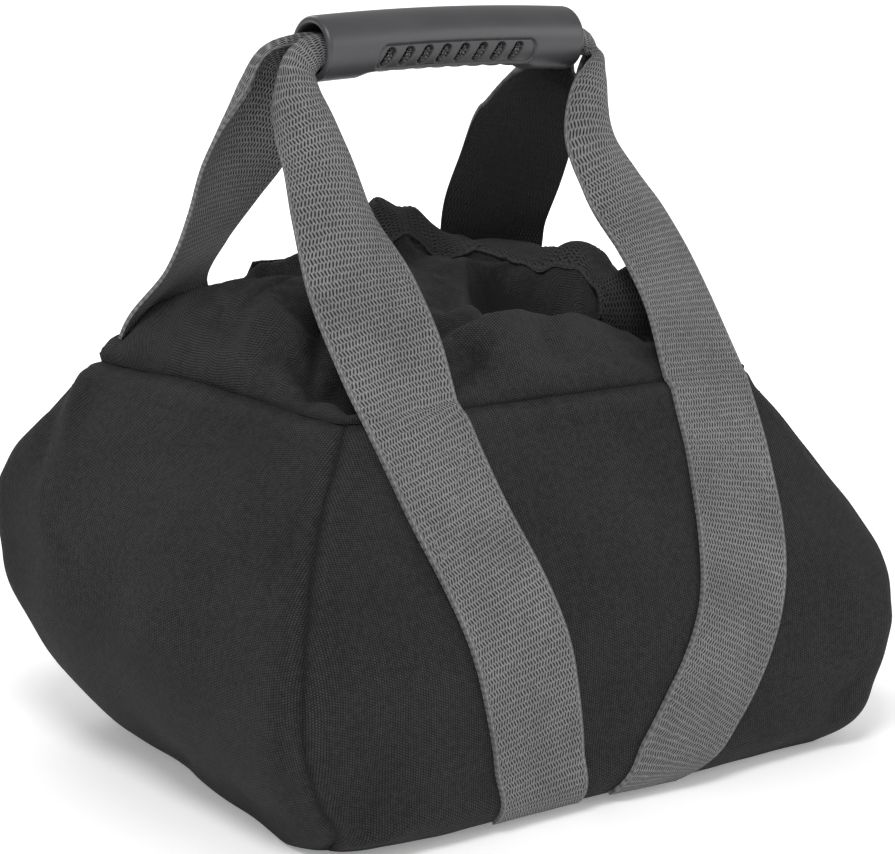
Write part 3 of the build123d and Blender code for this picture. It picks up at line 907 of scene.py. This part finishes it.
def make_flap():
    """Fill flap lying on the rear slope, sewn along its upper edge and hemmed below."""
    x = np.linspace(FLAP_LOW[0] - 1.5, FLAP_HIGH[0] + 1.5, 74)
    y = np.linspace(FLAP_LOW[1] - 1, FLAP_HIGH[1] + 1.5, 22)
    x, y = np.meshgrid(x, y)
    side = np.minimum(x - x.min(), x.max() - x)
    hem = np.minimum(side, y.max() - y)
    lift = 1.6 + 0.3 * waves(x, y, 30, 41) * smooth((y - y.min()) / 8)
    lift = lift + 0.4 * np.exp(-((hem - 5) / 2) ** 2)
    z = RIM_Z + rear_slope(y) + 0.2
    flat = np.stack([x, y, z], -1)
    grid = slump(flat + grid_normals(flat) * lift[..., None])
    piece = add_sheet("fill_flap_cloth", grid, CANVAS, metric_uv(grid), wear_and_shade=0.3 * np.exp(-hem / 2))
    install(piece, "canvas", ["fill_flap"])
    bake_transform(piece)
    normals = grid_normals(grid)
    rows = add_stitches("flap_hem_stitches", grid[-3, 3:-3], normals[-3, 3:-3])
    install(rows, "dark_thread", body="flap")
    rows = add_stitches("flap_top_stitches", grid[1, 3:-3], normals[1, 3:-3])
    install(rows, "dark_thread")
    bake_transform(rows)


# ---- webbing -----------------------------------------------------------------------------------
def panel_lookup(grid):
    """Function giving the depth of a panel's surface at front-view places (x, z), leaning in above its
    top row.
    """
    order = slice(None) if grid[0, 0, 0] < grid[0, -1, 0] else slice(None, None, -1)
    grid = grid[:, order]
    heights = grid[:, grid.shape[1] // 2, 2]

    def depth(x, z):
        row = np.interp(z, heights, np.arange(len(heights)))
        low = np.clip(row.astype(int), 0, len(heights) - 2)
        part = row - low
        y0 = np.array([np.interp(a, grid[r, :, 0], grid[r, :, 1]) for a, r in zip(x, low)])
        y1 = np.array([np.interp(a, grid[r + 1, :, 0], grid[r + 1, :, 1]) for a, r in zip(x, low)])
        y = y0 + (y1 - y0) * part
        return y - np.sign(y) * LEG_SLOPE * np.maximum(z - heights[-1], 0)

    return depth


def facing(grid, sign):
    """Normals of a grid, all turned to the front (-1) or to the rear (1)."""
    normals = grid_normals(grid)
    return normals * np.sign(normals[..., 1:2]) * sign


def sewn_grid(path, depth, sign, cols):
    """Webbing lying on its panel, from the base seam up to the rim."""
    heights = np.arange(BASE_TURN + 0.8, RIM_Z + 1, STEP)
    centre = curve(path, heights)[:, 0]
    lean = np.gradient(centre, heights)
    size = np.hypot(1, lean)
    across = np.linspace(-WEB_W / 2, WEB_W / 2, cols)
    x = centre[:, None] + across * (1 / size)[:, None]
    z = heights[:, None] - across * (lean / size)[:, None] * smooth(heights / 40)[:, None]
    z = np.maximum(z, BASE_TURN)
    y = depth(x.ravel(), z.ravel()).reshape(x.shape)
    grid = np.stack([x, y, z], -1)
    for _ in range(3):
        grid[1:-1, 1:-1] = 0.5 * grid[1:-1, 1:-1] + 0.125 * (
            grid[:-2, 1:-1] + grid[2:, 1:-1] + grid[1:-1, :-2] + grid[1:-1, 2:])
    return grid + facing(grid, sign) * (WEB_T + WEB_GAP)


def roll_section(roll, cols, width):
    """Across and outward offsets of webbing whose edges roll inwards, keeping its width of cloth."""
    s = np.linspace(-1, 1, cols)
    angle = max(radians(roll), 1e-3)
    radius = width / 2 / angle
    gather = 1 - 0.2 * smooth((roll - 95) / 50)
    squeeze = 1 - 0.6 * smooth((roll - 95) / 50)
    across = radius * np.sin(angle * s) * gather
    out = radius * (np.cos(angle * s) - np.sin(angle) / angle) * squeeze * gather
    return across, out


def leg_grid(keys, first_row, side, sign, cols):
    """Free leg from the rim into the grip."""
    start = first_row[cols // 2]
    rows = [(start[0], abs(start[1]), start[2], 0, 0)] + list(keys)
    rows = np.array(rows, float)
    places = np.column_stack([rows[:, 0], sign * rows[:, 1], rows[:, 2]])
    run = arc_length(places)
    t = np.linspace(0, run[-1], round(run[-1] / STEP))
    values = curve(np.column_stack([run, places, rows[:, 3:]]), t)
    centre, twist, roll = values[:, :3], values[:, 3], values[:, 4]
    tangent = unit(np.gradient(centre, axis=0))
    width_way = unit(first_row[-1] - first_row[0])
    grid = []
    for point, along, turn, bend in zip(centre, tangent, twist, roll):
        width_way = unit(width_way - along * (width_way @ along))
        angle = -side * sign * radians(turn)
        across_way = width_way * cos(angle) + np.cross(along, width_way) * sin(angle)
        outward = sign * np.cross(along, across_way)
        across, out = roll_section(max(bend, 0), cols, WEB_W)
        grid.append(point + across[:, None] * across_way + out[:, None] * outward)
    grid = np.stack(grid)
    fade = 1 - smooth(t / 60)
    return grid + (first_row - grid[0]) * fade[:, None, None]


def make_strap(end, side, depth):
    """One carry strap: sewn up its panel, then free up to the grip."""
    sign = -1 if end == "front" else 1
    way = -1 if side == "left" else 1
    sewn = sewn_grid(STRAP_PATHS[side], depth, sign, WEB_COLS)
    free = leg_grid(LEGS[f"{end}_{side}"], sewn[-1], way, sign, WEB_COLS)
    grid = np.concatenate([sewn, free[1:]])
    if sign > 0:
        grid = grid[:, ::-1]
    u = np.linspace(-WEB_W / 2, WEB_W / 2, WEB_COLS)
    v = arc_length(grid[:, WEB_COLS // 2])
    piece = add_sheet(f"{end}_{side}_webbing", grid, WEB_T, ribbon_uv(u, v))
    look = "web"
    # The rear right leg's inner face gets painted shade.
    if (end, side) == ("rear", "right"):
        look = "shaded_web"
        darken_inner_face(piece, len(v) * WEB_COLS)
    install(piece, look, [f"{end}_{side}_strap", f"{end}_{side}_leg"])
    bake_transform(piece)
    return sewn, sign


def darken_inner_face(piece, outer_count):
    """Mark the inner half of a strap's points, which get painted shade on the inner face of the webbing.
    """
    values = np.zeros(len(piece.data.vertices), np.float32)
    values[outer_count:] = 1.0
    piece.data.attributes["wear_and_shade"].data.foreach_set("value", values)


def box_stitches(name, sewn, sign):
    """Square with both diagonals, stitched through the strap."""
    half = BOX_SIDE / 2
    a, b, c, d = (-half, -half), (half, -half), (half, half), (-half, half)
    normals = facing(sewn, sign)
    across = np.linspace(-WEB_W / 2, WEB_W / 2, WEB_COLS)
    centre = sewn[:, WEB_COLS // 2]
    run = arc_length(centre)
    middle = np.interp(BOX_Z, centre[:, 2], run)
    pieces = []
    for start, end in ((a, b), (b, c), (c, d), (d, a), (a, c), (b, d)):
        count = round(np.hypot(end[0] - start[0], end[1] - start[1]) / STITCH_PITCH)
        t = (np.arange(count) + 0.5) / count
        u = start[0] + (end[0] - start[0]) * t
        v = middle + start[1] + (end[1] - start[1]) * t
        col = np.interp(u, across, np.arange(len(across)))
        row = np.interp(v, run, np.arange(len(run)))
        ways = normals[row.astype(int), col.astype(int)]
        pieces.append(add_stitches(f"{name}_{len(pieces)}", between(sewn, row, col), ways))
    return pieces


def join(name, pieces):
    """One object from several."""
    bpy.ops.object.select_all(action="DESELECT")
    for piece in pieces:
        piece.select_set(True)
    bpy.context.view_layer.objects.active = pieces[0]
    bpy.ops.object.join()
    pieces[0].name = name
    return pieces[0]


def make_straps(walls):
    """Four straps with their stitched boxes, and the webbing bunched through the grip."""
    threads = []
    for end in ("front", "rear"):
        depth = panel_lookup(walls[end])
        for side in ("left", "right"):
            sewn, sign = make_strap(end, side, depth)
            threads += box_stitches(f"{end}_{side}_box", sewn, sign)
    install(join("box_threads", threads), "thread", ["box_stitching"], "bag")
    for end, sign in (("front", -1), ("rear", 1)):
        make_core(end, sign)


def make_core(end, sign):
    """Bunched webbing inside the grip, following most of its arch."""
    x = np.linspace(-60, 60, 41)
    across, out = roll_section(150, WEB_COLS, WEB_W)
    rise = 0.85 * ARCH * (1 - (x / GRIP_END) ** 2)
    section = np.column_stack([np.zeros(WEB_COLS), sign * (CORE_Y + out), GRIP_Z + across])
    grid = np.stack([section + [GRIP_X + a, 0, b] for a, b in zip(x, rise)])
    if sign < 0:
        grid = grid[:, ::-1]
    u = np.linspace(-WEB_W / 2, WEB_W / 2, WEB_COLS)
    piece = add_sheet(f"{end}_grip_webbing", grid, WEB_T, ribbon_uv(u, x))
    install(piece, "web", [f"{end}_strap_core"], "handle_straps")


# Black webbing on the top: x, y, height over the rim, turn of its width in plan, tilt of its width.
BANDS = {
    "side": [(66, -51, 14, -23, 0), (66, -52.5, 26, -23, 2), (65.5, -50.5, 38, -22, 8),
             (64.5, -44, 45, -18, 15), (62, -25, 47.5, -10, 16), (60, 0, 51.5, -4, 14),
             (58, 24, 51, 2, 10), (54, 44, 51, 12, 4)],
    "ridge": [(54, 42, 48, 90, 20), (36, 45, 50, 90, 40), (18, 46, 54, 90, 55), (0, 46, 56, 90, 58),
              (-16, 46, 53, 90, 50), (-27, 46, 46, 90, 34)],
}
BAND_TURN_Y = -46.0        # in front of this the side band hangs down, behind it the band lies flat


def lay_on(ribbon, cloth, gap):
    """Lay a ribbon on the cloth of the top; its hanging front end is only kept clear of it."""
    rows, cols = cloth.shape[:2]
    col = np.clip((ribbon[..., 0] / RIM_X + 1) / 2 * (cols - 1), 0, cols - 2)
    row = np.clip((ribbon[..., 1] / RIM_Y + 1) / 2 * (rows - 1), 0, rows - 2)
    lift = between(cloth[..., 2], row, col) + gap - ribbon[..., 2]
    flat = smooth((ribbon[..., 1] - BAND_TURN_Y) / 10)
    lift = np.where(lift < 0, lift * flat, lift)
    for _ in range(4):
        eased = lift.copy()
        eased[1:-1, 1:-1] = (lift[:-2, 1:-1] + lift[2:, 1:-1] + lift[1:-1, :-2] + lift[1:-1, 2:]) / 4
        lift = np.maximum(eased, lift - 0.5)
    return slump(ribbon + lift[..., None] * [0, 0, 1])


def make_band(name, keys, cloth):
    """Ribbon along a line of points, its width turned and tilted as the keys say."""
    keys = np.array(keys, float)
    run = arc_length(keys[:, :3])
    t = np.linspace(0, run[-1], round(run[-1] / BAND_STEP))
    values = curve(np.column_stack([run, keys]), t)
    centre = values[:, :3] + [0, 0, RIM_Z]
    turn, tilt = np.radians(values[:, 3]), np.radians(values[:, 4])
    way = np.stack([np.cos(turn) * np.cos(tilt), np.sin(turn) * np.cos(tilt), np.sin(tilt)], -1)
    along = unit(np.gradient(centre, axis=0))
    way = unit(way - along * (way * along).sum(-1, keepdims=True))
    across = np.linspace(-BAND_W / 2, BAND_W / 2, BAND_COLS)
    grid = centre[:, None] + across[None, :, None] * way[:, None]
    grid = lay_on(grid, cloth, BAND_T + BAND_GAP)
    piece = add_sheet(f"top_{name}_webbing", grid, BAND_T, ribbon_uv(across, t))
    install(piece, "dark_web", [f"top_band_{name}"], "bag")
    normals = grid_normals(grid)
    rows = [add_stitches(f"band_{name}_stitch_{k}", grid[2:-2:2, k], normals[2:-2:2, k])
            for k in (2, BAND_COLS - 3)]
    install(join(f"top_{name}_stitches", rows), "dark_thread", body="bag")


# ---- grip --------------------------------------------------------------------------------------
GRIP_R = 14.5
BORE_R = 10.9
LIP = 2.2                  # length of the round lip at each end
ARCH = 2.0                 # how far the middle of the grip stands up
PANEL_DOWN = 24.0          # how far the ribbed panel faces below level, degrees
PANEL_X = (-45.0, 44.0)    # its ends, from the middle of the grip
PANEL_H = 6.6              # half height of the recessed panel
RIB_X = -3.0
RIB_COUNT = 8
RIB_PITCH = 10.4
RIB_TILT = 22.0


def rib_places():
    """Places of the ribs along the grip, from its middle."""
    first = RIB_X - RIB_PITCH * (RIB_COUNT - 1) / 2
    return [first + RIB_PITCH * i for i in range(RIB_COUNT)]


def rounded_box(x, y, low, high, half, radius):
    """Signed distance to a rounded rectangle, negative inside."""
    middle, reach = (low + high) / 2, (high - low) / 2
    dx = np.maximum(np.abs(x - middle) - reach + radius, 0)
    dy = np.maximum(np.abs(y) - half + radius, 0)
    return np.hypot(dx, dy) - radius


def slot_distance(x, y, place):
    """Signed distance to a slanted oval slot."""
    lean = radians(RIB_TILT)
    along = (x - place) * sin(lean) + y * cos(lean)
    off = (x - place) * cos(lean) - y * sin(lean)
    return np.hypot(np.maximum(np.abs(along) - 3.0, 0), off) - 2.3


def grip_radius(x, turn):
    """Outer radius of the grip; turn is measured from the panel's middle, positive upwards."""
    arc = GRIP_R * turn
    radius = np.full(np.broadcast(x, turn).shape, GRIP_R)
    inside = rounded_box(x, arc, *PANEL_X, PANEL_H, 4.5)
    radius = radius - 0.9 * smooth(0.5 - inside / 0.8)
    radius = radius - 0.7 * np.exp(-(inside / 0.5) ** 2)
    for place in rib_places():
        radius = radius - 2.4 * smooth(0.5 - slot_distance(x, arc, place) / 0.7)
    under = smooth((-arc - 6.5) / 4) * smooth((arc + 32) / 8)
    span = smooth((x - PANEL_X[0] + 6) / 9) * smooth((PANEL_X[1] + 4 - x) / 9)
    scallop = 0.5 + 0.5 * np.cos(2 * pi * (x - RIB_X - RIB_PITCH / 2) / RIB_PITCH)
    return radius - under * span * (1.7 + 1.1 * scallop ** 2)


def grip_point(x, radius, turn):
    """Place on the grip in the row frame."""
    angle = turn - radians(PANEL_DOWN)
    rise = ARCH * (1 - (x / GRIP_END) ** 2)
    y, z = -radius * np.cos(angle), GRIP_Z + rise + radius * np.sin(angle)
    return np.stack(np.broadcast_arrays(GRIP_X + x, y, z), -1)


def make_grip():
    """Moulded grip: a thick tube with round lips, a recessed panel, slots and finger scallops."""
    turns = np.linspace(-pi, pi, 217)
    wall = (GRIP_R - BORE_R) / 2
    straight = GRIP_END - LIP
    lip = np.linspace(0, pi, 11)
    profile = [(x, grip_radius(x, turns)) for x in np.linspace(-straight, straight, 286)]
    profile += [(straight + LIP * sin(a), BORE_R + wall + wall * cos(a)) for a in lip]
    profile += [(x, BORE_R) for x in np.linspace(GRIP_END - 4, -GRIP_END + 4, 60)]
    profile += [(-straight - LIP * sin(a), BORE_R + wall + wall * cos(a)) for a in lip[::-1]]
    grid = np.stack([grip_point(np.full_like(turns, x), radius, turns) for x, radius in profile])[:, :-1]
    rows, cols = grid.shape[:2]
    r, c = np.meshgrid(np.arange(rows), np.arange(cols), indexing="ij")
    nr, nc = (r + 1) % rows, (c + 1) % cols
    faces = np.stack([r * cols + c, nr * cols + c, nr * cols + nc, r * cols + nc], -1).reshape(-1, 4)
    piece = add_object("grip_body", grid.reshape(-1, 3), faces[:, ::-1], sharp=60)
    install(piece, "grip", ["grip_shell"], "grip")


def make_ribs():
    """Glossy lumpy rubber ribs showing through the slots."""
    around = np.linspace(0, 2 * pi, 25)[:-1]
    down = np.linspace(0, pi, 31)[1:-1]
    verts, faces = [], []
    lean = radians(RIB_TILT)
    for n, place in enumerate(rib_places()):
        base = len(verts)
        for a in down:
            along = 4.6 * cos(a)
            for b in around:
                lump = 1 + 0.3 * sin(3.4 * along + 2 * b + n)
                off = 1.5 * sin(a) * cos(b) * lump + 0.3 * sin(1.7 * along + n)
                out = 1.5 * sin(a) * sin(b) * lump
                x = place + along * sin(lean) + off * cos(lean)
                arc = along * cos(lean) - off * sin(lean)
                verts.append(grip_point(x, GRIP_R - 2.0 + out, arc / GRIP_R))
        count = len(around)
        for i in range(len(down) - 1):
            for k in range(count):
                a, b = base + i * count + k, base + i * count + (k + 1) % count
                faces.append([a, b, b + count, a + count])
        end = base + (len(down) - 1) * count
        faces.append([base + k for k in reversed(range(count))])
        faces.append([end + k for k in range(count)])
    install(add_mesh("grip_ribs", verts, faces), "rib", ["grip_insert"], "grip")


# ---- seams and inner parts ---------------------------------------------------------------------
def make_topstitching(walls):
    """Stitch line below the rim seam on each panel."""
    rows = []
    for side, grid in walls.items():
        normals = grid_normals(grid)
        level = np.argmin(np.abs(grid[:, grid.shape[1] // 2, 2] - (RIM_Z - 10)))
        shares = np.linspace(0, 1, round(1.4 * RIM_X / 1.5))
        line = resample(grid[level, 3:-3], shares)
        ways = unit(resample(normals[level, 3:-3], shares))
        rows.append(add_stitches(f"{side}_topstitch", line, ways, 2.0, 0.3, 0.1))
    install(join("rim_topstitches", rows), "dark_thread", body="bag")


LINER_INSET = 4.0          # liner inside the canvas' outer face
LINER_T = 0.5
NECK_R = 15.5              # gathered neck of the liner
BINDING_INSET = 3.2        # seam tapes inside the canvas' outer face
BINDING_T = 0.5


def inner_ring(inset, z):
    """Closed level line of the sack, set in from the canvas."""
    ring = plan_ring(level_values(z)[0], 60)
    return ring * (1 - inset / np.abs(ring).max(axis=0))


def inner_grid(inset, low, shoulder, top, reach):
    """Rings of a filling from the middle of its floor to a shoulder and in to a small top ring."""
    rings = [at_height(inner_ring(inset + 1, low) * share, low) for share in (0.02, 0.5, 0.97)]
    rings += [at_height(inner_ring(inset, z), z) for z in np.linspace(low + 2, shoulder, 40)]
    last = inner_ring(inset, shoulder)
    turn = np.arctan2(last[:, 1], last[:, 0])
    small = reach * np.column_stack([np.cos(turn), np.sin(turn)])
    for t in np.linspace(0.04, 1, 24):
        ring = last * (1 - t) + small * t
        z = shoulder + (top - shoulder) * np.sin(t * pi / 2) + 0.8 * waves(*ring.T, 40, 71) * sin(pi * t)
        rings.append(np.column_stack([ring, z]))
    return slump(closed(np.stack(rings)))


def make_filling():
    """Plastic liner gathered into its neck, and the sand inside it."""
    low, high = cad_box("liner_bag")
    shoulder = cad_box("sand_fill")[1][2] - 8
    grid = inner_grid(LINER_INSET, low[2] + 0.6, shoulder, high[2] - 15, NECK_R)
    neck = [grid[-1] + [0, 0, rise] for rise in np.linspace(2, 14, 7)]
    for k, ring in enumerate(neck):
        middle = ring.mean(axis=0)
        fan = 1 + 0.05 * k * np.sin(np.linspace(0, 16 * pi, len(ring)))[:, None] / 7
        neck[k] = middle + (ring - middle) * np.minimum(fan, 1)
    grid = np.concatenate([grid, neck])
    install(add_sheet("liner_film", grid, LINER_T, metric_uv(grid)), "liner", ["liner_bag"], "bag")
    grid = inner_grid(LINER_INSET + 1.2, low[2] + 2, shoulder - 4, shoulder + 6, 2.0)[:, :-1]
    rows, cols = grid.shape[:2]
    r, c = np.meshgrid(np.arange(rows - 1), np.arange(cols), indexing="ij")
    after = (c + 1) % cols
    faces = np.stack([r * cols + c, r * cols + after, (r + 1) * cols + after, (r + 1) * cols + c], -1)
    faces = faces.reshape(-1, 4).tolist()
    faces += [list(range(cols))[::-1], [(rows - 1) * cols + k for k in range(cols)]]
    install(add_mesh("sand_heap", grid.reshape(-1, 3), faces), "sand", ["sand_fill"], "bag")


def make_bindings():
    """Tapes over the seams inside the bag: one round the rim and one down each corner."""
    low, high = cad_box("rim_seam_binding")
    heights = np.linspace(low[2], min(high[2], RIM_Z - 2), 6)
    grid = np.stack([at_height(inner_ring(BINDING_INSET + 0.6, z), z) for z in heights])
    grid = slump(closed(grid))
    tape = add_sheet("rim_tape", grid, BINDING_T, metric_uv(grid))
    install(tape, "binding", ["rim_seam_binding"], "bag")
    low, high = cad_box("corner_seam_bindings")
    heights = np.linspace(low[2], min(high[2], RIM_Z - 12), 70)
    rings = np.stack([at_height(inner_ring(BINDING_INSET, z), z) for z in heights])
    tapes = []
    for corner in range(4):
        columns = (corner * rings.shape[1] // 4 + np.arange(-3, 4)) % rings.shape[1]
        strip = slump(rings[:, columns])
        tapes.append(add_sheet(f"corner_tape_{corner}", strip, BINDING_T, metric_uv(strip)))
    install(join("corner_tapes", tapes), "binding", ["corner_seam_bindings"], "bag")


KEPT_NODES = {
    "mouth_strip": "binding", "flap_hook_tape": "hook", "mouth_loop_tape": "loop", "liner_tie": "tie",
}


def dress_kept_nodes():
    """Materials of the CAD nodes that stay as they are."""
    for node, look in KEPT_NODES.items():
        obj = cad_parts[node]
        for slot in obj.material_slots:
            slot.material = MATERIALS[look]


# ---- stage -------------------------------------------------------------------------------------
VIEW_TARGET = Vector((0, 0, 0.1452))
VIEW_DISTANCE = 1.4565
VIEW_TURN = -38.75
VIEW_RISE = 11.95
VIEW_ROLL = 1.42
VIEW_LENS = 127.05
VIEW_SHIFT = (0.0067, -0.0007)

SKY_LIGHT = 0.55
FLOOR = 6000.0             # half its side
FLOOR_GLOW = (0.24, 0.8)   # the floor's own light under the bag and far away


def make_camera():
    """Camera at the photo's angle."""
    turn, rise, roll = radians(VIEW_TURN), radians(VIEW_RISE), radians(VIEW_ROLL)
    back = Vector((sin(turn) * cos(rise), -cos(turn) * cos(rise), sin(rise)))
    right = Vector((0, 0, 1)).cross(back).normalized()
    up = back.cross(right)
    right, up = right * cos(roll) + up * sin(roll), up * cos(roll) - right * sin(roll)
    camera = bpy.data.cameras.new("camera")
    camera.lens = VIEW_LENS
    camera.shift_x, camera.shift_y = VIEW_SHIFT
    obj = bpy.data.objects.new("camera", camera)
    place = Matrix((right, up, back)).transposed().to_4x4()
    place.translation = VIEW_TARGET + back * VIEW_DISTANCE
    obj.matrix_world = place
    bpy.context.scene.collection.objects.link(obj)
    bpy.context.scene.camera = obj


def make_light(name, place, size, power):
    """Large soft lamp aimed at the bag."""
    light = bpy.data.lights.new(name, "AREA")
    light.shape = "DISK"
    light.size = size
    light.energy = power
    obj = bpy.data.objects.new(name, light)
    obj.location = place
    aim = VIEW_TARGET - Vector(place)
    obj.rotation_euler = aim.to_track_quat("-Z", "Y").to_euler()
    bpy.context.scene.collection.objects.link(obj)


def make_stage():
    """Pale floor, pale surroundings and soft lamps."""
    bpy.context.scene.view_settings.view_transform = "Standard"
    corners = [(-FLOOR, -FLOOR, 0), (FLOOR, -FLOOR, 0), (FLOOR, FLOOR, 0), (-FLOOR, FLOOR, 0)]
    floor = add_object("floor", corners, [(0, 1, 2, 3)])
    g = Graph("floor_looks")
    place = g.coordinates()
    shade = g.ramp(g.noise(place, 3.0, 2.0), 0.3, 0.7)
    x, y, _ = g.split(place)
    far = g.ramp(g.math("SQRT", g.add(g.math("POWER", x, 2.0), g.math("POWER", y, 2.0))), 0.3, 1.5)
    glow = g.math("MULTIPLY_ADD", far, FLOOR_GLOW[1] - FLOOR_GLOW[0], FLOOR_GLOW[0])
    floor.data.materials.append(g.finish(g.mix(shade, (0.93, 0.93, 0.93), (0.95, 0.95, 0.95)), 0.8,
                                         Emission_Color=(1, 1, 1, 1), Emission_Strength=glow))
    world = bpy.data.worlds.new("surroundings")
    world.use_nodes = True
    sky = world.node_tree.nodes["Background"]
    sky.inputs["Color"].default_value = (1, 1, 1, 1)
    seen = world.node_tree.nodes.new("ShaderNodeLightPath").outputs["Is Camera Ray"]
    strength = world.node_tree.nodes.new("ShaderNodeMapRange")
    strength.inputs["To Min"].default_value = SKY_LIGHT
    strength.inputs["To Max"].default_value = 1.0
    world.node_tree.links.new(seen, strength.inputs["Value"])
    world.node_tree.links.new(strength.outputs["Result"], sky.inputs["Strength"])
    bpy.context.scene.world = world
    make_light("key", (-1.0, -0.9, 1.9), 0.8, 24)
    make_light("fill", (1.5, -1.4, 0.9), 1.0, 8)
    make_light("back", (0.3, 1.6, 1.5), 1.0, 8)


# ---- build -------------------------------------------------------------------------------------
walls = {side: make_wall(side, 11 + 10 * k) for k, side in enumerate(SIDES)}
make_base()
top_cloth = make_top()
make_flap()
make_straps(walls)
for band, band_keys in BANDS.items():
    make_band(band, band_keys, top_cloth)
make_grip()
make_ribs()
make_topstitching(walls)
make_filling()
make_bindings()
dress_kept_nodes()
make_camera()
make_stage()
